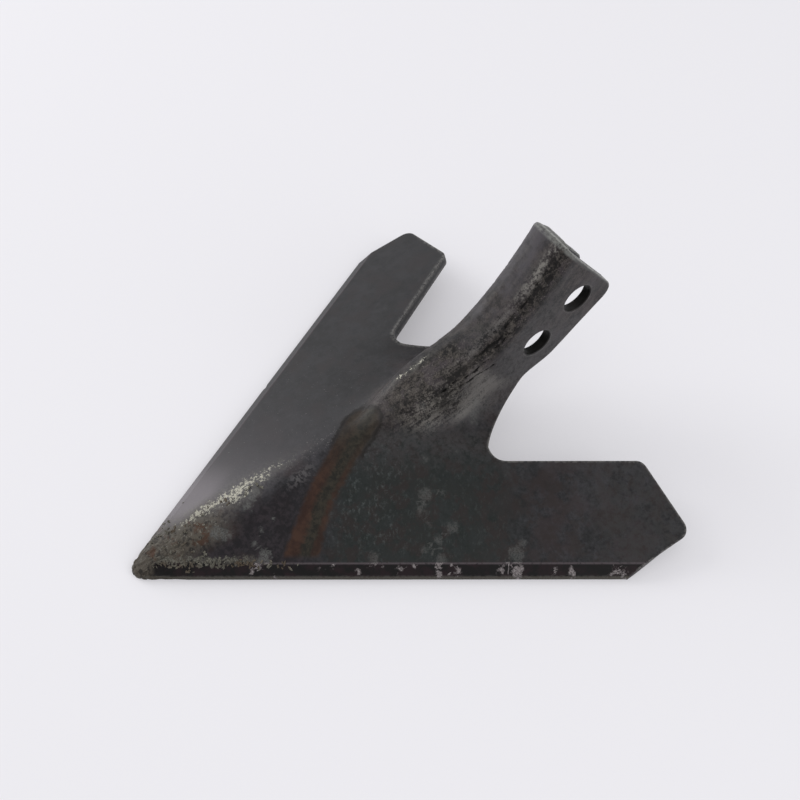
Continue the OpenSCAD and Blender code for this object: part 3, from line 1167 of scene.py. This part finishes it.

# %% [markdown]
# ## Finishes of the wings
#
# The near wing is greenish black with fine pale specks in streaks, plum black towards the
# nose. The far wing is plainer and gets paler towards the nose: soil has rubbed it grey,
# and a painted sheen lightens it further. Along the ridge between them lie pale dots, and a
# few drips below it.

# %% Near wing
TONES.update(
    green=(0.011, 0.0155, 0.0135), murk=(0.021, 0.015, 0.014), speck=(0.066, 0.076, 0.074),
    tail=(0.033, 0.033, 0.033), crown_shade=(0.042, 0.040, 0.042),
    plum_dark=(0.006, 0.0045, 0.006), plum_pale=(0.021, 0.016, 0.019),
)
STREAKS_ACROSS = (1.0, 0.55, 0.0)


def near_wing(p):
    wing = p.mask(p.above, x=(1, 8), stem=(0.4, 0.1))
    green = p.mask(wing, s=[(70, 92), (175, 135)])
    p.lay("green", green, 0.75)
    p.lay("murk", p.mask(wing, blotch=(0.46, 0.6), s=(66, 88)), 0.7)
    p.streaks = noise(p.tree, stretch(p.tree, p.wing_place, STREAKS_ACROSS), 0.7, 6.0, 0.78, 31.0)
    thick = p.scaled(p.mask(s=(122, 98), q=(6, 16)), 0.55, 0.35)
    p.lay("speck", p.mask(green, thick, streaks=(0.48, 0.68), ragged=(0.40, 0.60)))
    p.lay("tail", p.mask(wing, s=(165, 200), ragged=(0.34, 0.6)), 0.6)
    p.lay("crown_shade", p.mask(wing, q=(34, 52), ragged=(0.32, 0.62)), 0.7)
    plum = p.over("plum_dark", p.mask(ragged=(0.44, 0.62)), "plum_pale")
    p.lay(plum, p.mask(p.above, s=(86, 62), x=(1, 8), cloud=(0.36, 0.5)), 0.88)


print("near wing ready")

# %% Far wing
TONES.update(
    plain=(0.037, 0.037, 0.038), rubbed=(0.066, 0.060, 0.067), nose_grey=(0.125, 0.117, 0.122),
    worn_grey=(0.205, 0.186, 0.200), dust=(0.20, 0.19, 0.185), fleck=(0.17, 0.165, 0.16),
    drip=(0.10, 0.095, 0.096), dot=(0.21, 0.20, 0.20),
)


def far_wing(p):
    plain = p.mask(p.above, x=(0, -8), stem=(0.4, 0.1))
    p.lay("plain", plain, 0.6)
    # rubbed grey oxide, partly a painted sheen that lightens the far wing towards the nose
    rubbed = p.mask(p.above, x=(5, -6), s=(120, 15))
    p.lay("rubbed", rubbed, 0.8)
    # paler still at the nose: painted sheen over grey rubbed oxide
    p.lay("nose_grey", p.mask(p.above, x=(0, -6), s=(84, 22)), 0.8)
    p.lay("worn_grey", p.mask(p.above, x=(-3, -9), s=[(64, 44), (20, 30)], q=(19, 11)), 0.6)
    p.lay("dust", p.mask(rubbed, grain=(0.42, 0.6), s=(80, 34), x=(-16, -6)), 0.8)
    p.lay("fleck", p.mask(plain, s=(150, 110), fine=(0.63, 0.68), ragged=(0.5, 0.6)))
    drips = p.mask(p.above, p.at(p.s, 70, 9), p.at(p.x, 4, 5), ragged=(0.48, 0.57))
    p.lay("drip", drips, 0.7)
    ridge = p.mask(p.above, p.at(p.x, -4, 6), s=[(58, 68), (116, 98)])
    p.lay("dot", p.mask(ridge, fine=(0.585, 0.64), ragged=(0.46, 0.56)))


print("far wing ready")

# %% [markdown]
# ## Temper band and blots
#
# Steel that is heated in air turns straw, brown, purple, then blue. The band stopped at
# brown along its sides and went on to olive in the middle. Its head has a dark lip. Blots
# of scale are dull on the wing and bright where they chipped off the bevel. The dull blots
# on the near flank of the neck are a painted highlight.

# %% Temper band
TONES.update(
    olive_dark=(0.010, 0.009, 0.006), olive_pale=(0.029, 0.024, 0.016),
    brown_dark=(0.024, 0.009, 0.005), brown_pale=(0.047, 0.021, 0.012), lip=(0.007, 0.005, 0.004),
)


def temper_band(p):
    away, p.band_run, left = split(p.tree, p.read("band", "FLOAT_VECTOR"))
    p.band_skin, p.band_side = p.wobble(away, 3.6), p.wobble(left, 5.0)
    olive = p.over("olive_dark", p.mask(ragged=(0.38, 0.62)), "olive_pale")
    brown = p.over("brown_dark", p.mask(blotch=(0.38, 0.62)), "brown_pale")
    left_side, right_side = p.mask(band_side=(-0.4, 2.6)), p.mask(0.8, band_side=(-2.4, -4.4))
    lower_part = p.scaled(p.mask(band_run=(0.9, 0.5)), 0.75, 0.25)
    sides = p.mask(most(p.tree, left_side, right_side), lower_part)
    p.lay(p.over(olive, sides, brown), p.mask(band_skin=(1.1, -1.3), q=(5.4, 7.8)), 0.95)
    p.lay("lip", p.mask(p.at(p.band_skin, 0.6, 1.5), band_run=(0.66, 0.84)), 0.85)


print("temper band ready")

# %% Blots of scale
TONES.update(
    dull_scale=(0.104, 0.105, 0.100),
    chip_dark=(0.065, 0.056, 0.056), chip_pale=(0.25, 0.225, 0.225),
)


def scale_blots(p):
    along, across, radius = split(p.tree, p.read("blot", "FLOAT_VECTOR"))
    away = calc(p.tree, "SUBTRACT", length_2d(p.tree, along, across), radius)
    crumbled = p.scaled(p.fine, 4.0, p.scaled(p.ragged, 9.0, -6.5))
    p.blot_skin = calc(p.tree, "ADD", away, crumbled)
    strong = p.scaled(p.mask(s=(92, 72)), 0.35, 0.5)
    # dull blots; those on the neck's near flank are a painted highlight
    dull = p.mask(p.above, strong, blot_skin=(0.5, -1.5), q=(4.0, 4.6), fine=(0.28, 0.62))
    p.lay("dull_scale", dull)
    chip = p.over("chip_dark", p.mask(fine=(0.40, 0.58)), "chip_pale")
    p.lay(chip, p.mask(p.above, blot_skin=(0.0, -0.5), q=(4.6, 4.0)))


print("blots ready")

# %% [markdown]
# ## Crown, stem and nose
#
# The crown and the near bend were worked hottest. Thick scale stayed there, brown and grey
# with black hollows, in strands along the stem, because the plate was drawn that way. A dark
# line of painted shade runs along the middle of the near bend. The nose is rusty and
# crumbled, for it meets the stones first.

# %% Crown
TONES.update(
    scale_dark=(0.006, 0.005, 0.004), scale_pale=(0.094, 0.082, 0.071),
    bruise=(0.052, 0.042, 0.048), soot=(0.006, 0.005, 0.005), foot=(0.105, 0.093, 0.086),
    rubble_dark=(0.005, 0.004, 0.003), rubble_pale=(0.185, 0.172, 0.153),
)
ALONG_STEM = (0.3, 1.0, 0.0)


def crown_scale(p):
    in_bend = p.mask(p.stem, p.at(p.bend, 0.5, 9), x=(-8, 1))
    on_crown = p.mask(a=[(44, 60), (104, 84)], bend=(22, 6), x=(-7.5, -2))
    p.scaly = p.mask(p.above, most(p.tree, in_bend, on_crown))
    worked = p.mask(p.above, most(p.tree, p.scaly, p.mask(p.stem, 0.5)))
    strands = noise(p.tree, stretch(p.tree, p.stem_place, ALONG_STEM), 0.45, 5.0, 0.7, 61.0)
    p.mixed = p.scaled(strands, 0.35, p.scaled(p.fine, 0.35, p.mask(p.ragged, 0.3)))
    p.lay(p.over("scale_dark", p.mask(mixed=(0.42, 0.60)), "scale_pale"), worked, 0.85)
    p.lay("bruise", p.mask(worked, blotch=(0.50, 0.62)), 0.55)
    p.lay("soot", p.mask(worked, blotch=(0.50, 0.40), ragged=(0.56, 0.44)))
    foot = p.mask(p.above, p.at(p.x, -8, 10), a=[(80, 88), (102, 92)], mixed=(0.40, 0.6))
    p.lay("foot", foot, 0.7)
    rubble = p.mask(p.above, p.at(p.x, 12, 7), a=[(62, 72), (96, 84)])
    p.lay(p.over("rubble_dark", p.mask(mixed=(0.44, 0.56)), "rubble_pale"), rubble, 0.75)


print("crown ready")

# %% Stem: flank, web, painted shade and highlight under the neck, near bend
TONES.update(
    flank=(0.050, 0.048, 0.050), web=(0.070, 0.065, 0.073), web_top=(0.088, 0.082, 0.092),
    hollow=(0.008, 0.007, 0.006), smudge=(0.135, 0.127, 0.119), crease=(0.005, 0.004, 0.004),
    proud=(0.120, 0.112, 0.108), scale_fleck=(0.19, 0.18, 0.16), flake=(0.21, 0.20, 0.18),
)
NECK_SLANT = -0.27


def stem_tones(p):
    stem = p.mask(p.stem, p.above)
    p.lay("flank", p.mask(stem, a=(10, 34), bend=(4, 10), x=(4, 8), ragged=(0.36, 0.6)), 0.6)
    p.lay("web", p.mask(stem, x=(4, -2), a=(52, 34), blotch=(0.38, 0.58)), 0.5)
    # painted sheen: the top of the web lighter and more purple
    p.lay("web_top", p.mask(stem, x=(4, -2), a=(30, 12)), 0.3)
    slant = p.scaled(p.a, NECK_SLANT, p.x)
    under_neck = p.mask(p.above, a=[(53, 60), (84, 74)], x=(6, 9))
    # painted shade in the valley under the neck
    p.lay("hollow", p.mask(under_neck, p.at(slant, -8.6, 3.6), ragged=(0.70, 0.50)), 0.9)
    # painted highlight on the concave near flank under the neck
    p.lay("smudge", p.mask(under_neck, p.at(slant, -4.0, 2.2), mixed=(0.34, 0.54)), 0.85)
    bend = p.mask(stem, x=(0, 3))
    # painted shade along the middle of the near bend, broken by ragged noise
    p.lay("crease", p.mask(bend, p.at(p.bend, 0.8, 2.2), ragged=(0.58, 0.46)), 0.9)
    p.lay("proud", p.mask(bend, p.at(p.bend, -4.2, 3.4), a=(74, 50), mixed=(0.42, 0.6)), 0.75)
    p.lay("scale_fleck", p.mask(p.scaly, fine=(0.58, 0.68), blotch=(0.46, 0.56)), 0.6)
    p.lay("flake", p.mask(bend, p.at(p.bend, -4.0, 3.2), a=(34, 16), ragged=(0.50, 0.58)), 0.8)


print("stem ready")

# %% Nose
TONES.update(
    rust_dark=(0.019, 0.016, 0.012), rust_pale=(0.078, 0.067, 0.052),
    rust_red=(0.060, 0.030, 0.016), grit=(0.175, 0.168, 0.140),
)


def rusty_nose(p):
    p.from_tip = p.scaled(p.mask(q=(5, 16)), -14.0, p.s)
    p.nose = p.mask(p.above, from_tip=(36, 16))
    rust = p.over("rust_dark", p.mask(ragged=(0.38, 0.54)), "rust_pale")
    rust = p.over(rust, p.mask(blotch=(0.54, 0.64)), "rust_red")
    p.lay(p.over(rust, p.mask(grain=(0.57, 0.68)), "grit"), p.nose, 0.9)


print("nose ready")

# %% [markdown]
# ## The cutting edge
#
# The bevel was ground, then burnt plum black. A thin pale line runs along its upper edge,
# and below it a narrow upright land has been worn grey. Towards the nose the scale of the
# wing hangs over the bevel in crumbs, so there its border wanders.

# %% Bevel
TONES.update(
    crumb_dark=(0.050, 0.047, 0.037), crumb_pale=(0.150, 0.145, 0.122),
    burnt_dark=(0.0025, 0.002, 0.002), burnt_pale=(0.010, 0.004, 0.0055),
    bevel_line=(0.082, 0.068, 0.074), land=(0.046, 0.040, 0.029),
)


def bevel(p):
    front = p.mask(s=(60, 46))
    p.border = p.wobble(p.q, p.scaled(front, 9.0, 0.6))
    near = p.mask(p.above, x=(0.5, 4))
    crumbs = p.mask(near, front, p.at(p.border, 5.3, 1.7), s=(10, 16))
    p.lay(p.over("crumb_dark", p.mask(fine=(0.42, 0.6)), "crumb_pale"), crumbs, 0.85)
    burnt = p.over("burnt_dark", p.mask(blotch=(0.42, 0.6)), "burnt_pale")
    p.lay(burnt, p.mask(near, border=(4.5, 4.0), s=(11, 14)))
    line = p.mask(p.above, p.at(p.q, 4.05, 0.6), grain=(0.26, 0.5), s=(52, 62))
    p.lay("bevel_line", line, 0.85)
    p.lay("land", p.mask(p.above, q=(0.35, 0.1)), 0.85)


print("bevel ready")

# %% [markdown]
# ## Bare metal, edges and cracks
#
# Soil polishes what stands proud: the far shoulder of the ridge and of the crown. There
# the oxide is gone in flecks and the steel shines. Edges are rubbed grey, the top end of
# the stem is paler with a painted highlight along its edges, and the walls of the holes and
# the cracks stay black.

# %% Bare metal
TONES.update(dusty=(0.085, 0.083, 0.072), bare=(0.30, 0.29, 0.245))


def bare_metal(p):
    sway = p.scaled(noise(p.tree, p.mm, 0.16, 4.0, 0.65, 41.0), 7.0, -3.5)
    across = calc(p.tree, "ADD", p.x, sway)
    shoulder = p.mask(p.at(across, -6, 6.5), s=[(14, 38), (86, 50)])
    patch = p.mask(p.at(across, -4, 8), p.at(p.s, 48, 13))
    crest = p.mask(p.at(across, -6, 2.6), 0.85, a=[(88, 80), (62, 70)])
    p.worn = p.mask(p.above, most(p.tree, shoulder, patch, crest))
    p.lay("dusty", p.mask(p.worn, ragged=(0.44, 0.56)), 0.75)
    speckle = p.scaled(p.grain, 0.7, p.mask(p.fine, 0.3))
    p.past_limit = calc(p.tree, "SUBTRACT", speckle, p.scaled(p.worn, -0.22, 0.68))
    p.bare = p.mask(past_limit=(0.0, 0.04), worn=(0.05, 0.2))
    p.lay("bare", p.bare)


print("bare metal ready")

# %% Edges, holes and cracks
TONES.update(
    rubbed_edge=(0.135, 0.130, 0.122), end_web=(0.16, 0.162, 0.152),
    end_flank=(0.075, 0.076, 0.073), end_edge=(0.32, 0.32, 0.30), far_rim=(0.135, 0.132, 0.126),
    hole_rim=(0.105, 0.103, 0.098), hole_wall=(0.007, 0.007, 0.006), crack=(0.003, 0.0025, 0.002),
)


def edges_and_cracks(p):
    less_in_front = p.scaled(p.mask(q=(0.8, 2.5)), 0.5, 0.2)
    p.lay("rubbed_edge", p.mask(less_in_front, edge=(1.1, 0.3), grain=(0.40, 0.56)))
    end = p.mask(a=(1.6, 0.4), stem=(0.9, 0.98), grain=(0.30, 0.56))
    p.lay(p.over("end_web", p.mask(bend=(3, 9)), "end_flank"), end, 0.9)
    # painted highlight along the edges of the stem's top end
    p.lay("end_edge", p.mask(end, edge=(0.9, 0.3)), 0.8)
    p.lay("far_rim", p.mask(edge=(2.2, 0.6), x=(-16, -24), q=(20, 30), grain=(0.38, 0.58)), 0.7)
    p.lay("hole_rim", p.mask(p.at(p.bore, 0.8, 0.5), grain=(0.40, 0.56)), 0.5)
    p.lay("hole_wall", p.mask(bore=(0.42, 0.1)), 0.9)
    p.crack_skin = p.wobble(p.read("crack_mm"), 3.0)
    p.crack = p.mask(crack_skin=(0.45, -0.1))
    p.lay("crack", p.crack)


print("edges and cracks ready")

# %% [markdown]
# ## One material for the plate
#
# The finishes are painted in order, so a later one covers an earlier one. Scale, rust and
# cracks are also rougher than the satin oxide, and their grain stands out as a fine bump.

# %% The plate's material
FINISHES = (near_wing, far_wing, crown_scale, stem_tones, temper_band, rusty_nose, bevel,
            scale_blots, bare_metal, edges_and_cracks)
SATIN = 0.22


def plate_material():
    material, tree, shader = new_material("oxide_steel")
    p = Finish(tree)
    for finish in FINISHES:
        finish(p)
    matt = most(tree, p.scaly, p.nose, p.crack)
    coarse = p.mask(p.ragged, p.scaled(matt, 1.0, 0.12))
    height = p.scaled(p.fine, p.scaled(matt, 0.5, 0.12), coarse)
    bump = add_node(tree, "ShaderNodeBump", {"Strength": 0.5, "Distance": 0.0004, "Height": height})
    feed(tree, shader, {"Base Color": p.colour, "Metallic": p.mask(p.bare, 0.8),
                        "Roughness": p.scaled(p.grain, 0.24, p.scaled(matt, 0.2, 0.34)),
                        "Specular IOR Level": SATIN, "Normal": bump.outputs[0]})
    return material


oxide_steel = plate_material()
print("plate material:", len(oxide_steel.node_tree.nodes), "nodes")

# %% Weather the plate and make it the visible sweep
SHARP_FROM = math.radians(21)
worn_plate = show("worn_plate", drilled)
run_tree(worn_plate, relief, relief_ids, {
    "Wave depth": 0.25, "Pit depth": 0.35, "Band depth": 0.22, "Crack depth": 0.75,
    "Crumble depth": 0.5, "Dent depth": 0.16, "Material": oxide_steel})
skin = baked(worn_plate, "sweep_skin")
skin.shade_smooth()
skin.set_sharp_from_angle(angle=SHARP_FROM)
sweep_skin = show("sweep_skin", skin)
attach(sweep_skin, "root")
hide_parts("sweep")
print("visible sweep:", len(skin.polygons), "faces")

# %% [markdown]
# ## Crumbs of scale
#
# Above the bevel the scale breaks off in crumbs that hang over the ground face, and more of
# them lie on the nose and along the worn streak on the ridge. Distribute Points scatters
# points over the skin, thickest where a mask is high, and Instance on Points puts one lump
# on each, turned and sized by chance. The seed is fixed, so each run scatters alike.


# %% Where crumbs lie
def crumb_places(p):
    overhang = p.mask(p.at(p.q, 4.0, 1.5), s=(80, 44), x=(1, 4))
    nose = p.mask(p.mask(s=(42, 18), q=(1.2, 2.6)), 0.10)
    streak = p.mask(p.at(p.x, -3.5, 4.0), p.at(p.s, 46, 15), 0.25)
    return p.mask(p.mask(most(p.tree, overhang, nose, streak), s=(8, 12)), p.above)


def crumb_shape(tree):
    ball = add_node(tree, "GeometryNodeMeshIcoSphere", {"Radius": 1.0, "Subdivisions": 2})
    place = add_node(tree, "GeometryNodeInputPosition").outputs[0]
    lumpy = calc(tree, "MULTIPLY_ADD", noise(tree, place, 1.3, 2.0, 0.5, 5.0), 4.4, -2.2)
    bulge = add_node(tree, "ShaderNodeVectorMath", {0: place, "Scale": lumpy}, operation="SCALE")
    return add_node(tree, "GeometryNodeSetPosition",
                    {"Geometry": ball.outputs[0], "Offset": bulge.outputs[0]}).outputs[0]


print("crumbs hang over the bevel, on the nose and on the ridge")

# %% A tree that scatters crumbs
CRUMB_FLATNESS = (1.0, 0.65, 0.5)
LEAST_TURN, MOST_TURN, TURN_SEED = (-0.5, -0.5, 0.0), (0.5, 0.5, 6.28), 3


def crumb_tree():
    sockets = [(label, "NodeSocketFloat") for label in ("Density", "Smallest", "Largest")]
    sockets += [("Seed", "NodeSocketInt"), ("Material", "NodeSocketMaterial")]
    tree, ids = tree_with("scale_crumbs", sockets)
    start = add_node(tree, "NodeGroupInput").outputs
    thick = times(tree, crumb_places(Places(tree)), start["Density"])
    spots = add_node(tree, "GeometryNodeDistributePointsOnFaces",
                     {"Mesh": start["Geometry"], "Density": thick, "Seed": start["Seed"]}).outputs
    sizes = {2: start["Smallest"], 3: start["Largest"], "Seed": start["Seed"]}
    size = add_node(tree, "FunctionNodeRandomValue", sizes, data_type="FLOAT").outputs[1]
    flat = add_node(tree, "ShaderNodeVectorMath", {0: CRUMB_FLATNESS, "Scale": size},
                    operation="SCALE")
    set_on = add_node(tree, "GeometryNodeInstanceOnPoints",
                      {"Points": spots["Points"], "Instance": crumb_shape(tree),
                       "Rotation": spots["Rotation"], "Scale": flat.outputs[0]}).outputs[0]
    turns = {0: LEAST_TURN, 1: MOST_TURN, "Seed": TURN_SEED}
    turn = add_node(tree, "FunctionNodeRandomValue", turns, data_type="FLOAT_VECTOR")
    turned = add_node(tree, "GeometryNodeRotateInstances",
                      {"Instances": set_on, "Rotation": turn.outputs[0]}).outputs[0]
    finish_tree(tree, turned, start["Material"])
    return tree, ids


crumbs_tree, crumb_ids = crumb_tree()
print("crumb tree:", len(crumbs_tree.nodes), "nodes")

# %% The crumbs' material
CRUMB_OXIDE = ((0.042, 0.037, 0.028), (0.190, 0.182, 0.152), (0.075, 0.052, 0.034))


def crumb_material():
    material, tree, shader = new_material("crumbled_scale")
    oxide = oxide_node(tree, object_mm(tree), *CRUMB_OXIDE)
    grain = oxide["Grain"]
    bump = add_node(tree, "ShaderNodeBump", {"Strength": 0.4, "Distance": 0.0003, "Height": grain})
    feed(tree, shader, {"Base Color": oxide["Colour"], "Specular IOR Level": SATIN,
                        "Roughness": calc(tree, "MULTIPLY_ADD", grain, 0.3, 0.55),
                        "Normal": bump.outputs[0]})
    return material


crumbled_scale = crumb_material()
print("crumb material:", len(crumbled_scale.node_tree.nodes), "nodes")

# %% The crumbs
crumb_bed = show("crumb_bed", skin.copy())
run_tree(crumb_bed, crumbs_tree, crumb_ids, {
    "Density": 1.1e6, "Smallest": 0.00022, "Largest": 0.00105, "Seed": 4,
    "Material": crumbled_scale})
crumb_mesh = baked(crumb_bed, "scale_crumbs")
scale_crumbs = show("scale_crumbs", crumb_mesh)
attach(scale_crumbs, "root")
print("crumbs:", len(crumb_mesh.polygons), "faces")

# %% [markdown]
# ## Floor, light and camera
#
# The sweep lies on pale paper. The sky is even and soft. One wide soft light stands low on
# the far left, because the far wing shines while the near wing stays dark, and a weaker one
# on the right fills the shade. Part of what the camera sees of the paper is its plain tone:
# Light Path picks those rays, so the shadow stays as faint as in a studio and no more light
# falls on the steel. The camera stands close, so nearer parts look larger.

# %% The paper
PAPER_TONE, PLAIN_TONE, PLAIN_SHARE = (0.86, 0.855, 0.885), (0.84, 0.825, 0.855), 0.35


def paper_material():
    material, tree, shader = new_material("pale_paper")
    feed(tree, shader, {"Base Color": rgb(*PAPER_TONE), "Roughness": 0.9,
                        "Specular IOR Level": 0.1})
    ray = add_node(tree, "ShaderNodeLightPath").outputs
    seen = most(tree, ray["Is Camera Ray"], ray["Is Glossy Ray"], ray["Is Transmission Ray"])
    plain = add_node(tree, "ShaderNodeEmission", {"Color": rgb(*PLAIN_TONE)}).outputs[0]
    both_ways = add_node(tree, "ShaderNodeMixShader",
                         {0: times(tree, seen, PLAIN_SHARE), 1: shader.outputs[0], 2: plain})
    feed(tree, tree.nodes["Material Output"], {"Surface": both_ways.outputs[0]})
    return material


paper = paper_material()
print("paper:", len(paper.node_tree.nodes), "nodes")

# %% Floor
FLOOR_HALF = 3.0
corners = [(FLOOR_HALF * i, FLOOR_HALF * j, 0) for i, j in ((-1, -1), (1, -1), (1, 1), (-1, 1))]
floor_mesh = bpy.data.meshes.new("floor")
floor_mesh.from_pydata(corners, [], [(0, 1, 2, 3)])
floor_mesh.materials.append(paper)
floor = show("floor", floor_mesh)
print("floor laid:", 2 * FLOOR_HALF, "m wide")

# %% Lights: name, place, size in metres, watts
AIM = Vector((0, 0, 0.03))
LIGHTS = [
    ("key_far_left", (-1.75, -0.95, 0.85), 1.3, 25),
    ("fill_right", (1.5, 0.75, 1.2), 1.5, 12),
]
SKY_TONE, SKY_STRENGTH = (0.98, 0.98, 1.0), 0.67
for name, place, size, watts in LIGHTS:
    light = bpy.data.lights.new(name, "AREA")
    light.shape, light.size, light.energy = "SQUARE", size, watts
    lamp = bpy.data.objects.new(name, light)
    lamp.location = place
    lamp.rotation_euler = (AIM - Vector(place)).to_track_quat("-Z", "Y").to_euler()
    bpy.context.scene.collection.objects.link(lamp)
    print("light:", name, watts, "W")
world = bpy.data.worlds.new("studio")
bpy.context.scene.world = world
world.use_nodes = True
feed(world.node_tree, world.node_tree.nodes["Background"],
     {"Color": rgb(*SKY_TONE), "Strength": SKY_STRENGTH})
bpy.context.scene.view_settings.view_transform = "Standard"

# %% Camera
CAMERA_AT = (0.18194, 0.00025 - Y_MID / MM, 0.31692)
TURN, HEIGHT = math.radians(-31.099), math.radians(54.413)
FOCAL_PX, FRAME_PX, SENSOR_MM = 879.45, 800.0, 36.0
AXIS_PX = (360.15, 434.41)
back = Vector((math.cos(HEIGHT) * math.cos(TURN), math.cos(HEIGHT) * math.sin(TURN),
               math.sin(HEIGHT)))
right = Vector((-math.sin(TURN), math.cos(TURN), 0))
upward = back.cross(right)
camera_data = bpy.data.cameras.new("camera")
camera_data.sensor_width = SENSOR_MM
camera_data.lens = FOCAL_PX / FRAME_PX * SENSOR_MM
camera_data.shift_x = (FRAME_PX / 2 - AXIS_PX[0]) / FRAME_PX
camera_data.shift_y = (AXIS_PX[1] - FRAME_PX / 2) / FRAME_PX
camera_data.clip_start = 0.01
camera = bpy.data.objects.new("camera", camera_data)
camera.matrix_world = Matrix.Translation(CAMERA_AT) @ Matrix(
    (right, upward, back)).transposed().to_4x4()
bpy.context.scene.collection.objects.link(camera)
bpy.context.scene.camera = camera
print(f"lens {camera_data.lens:.2f} mm")
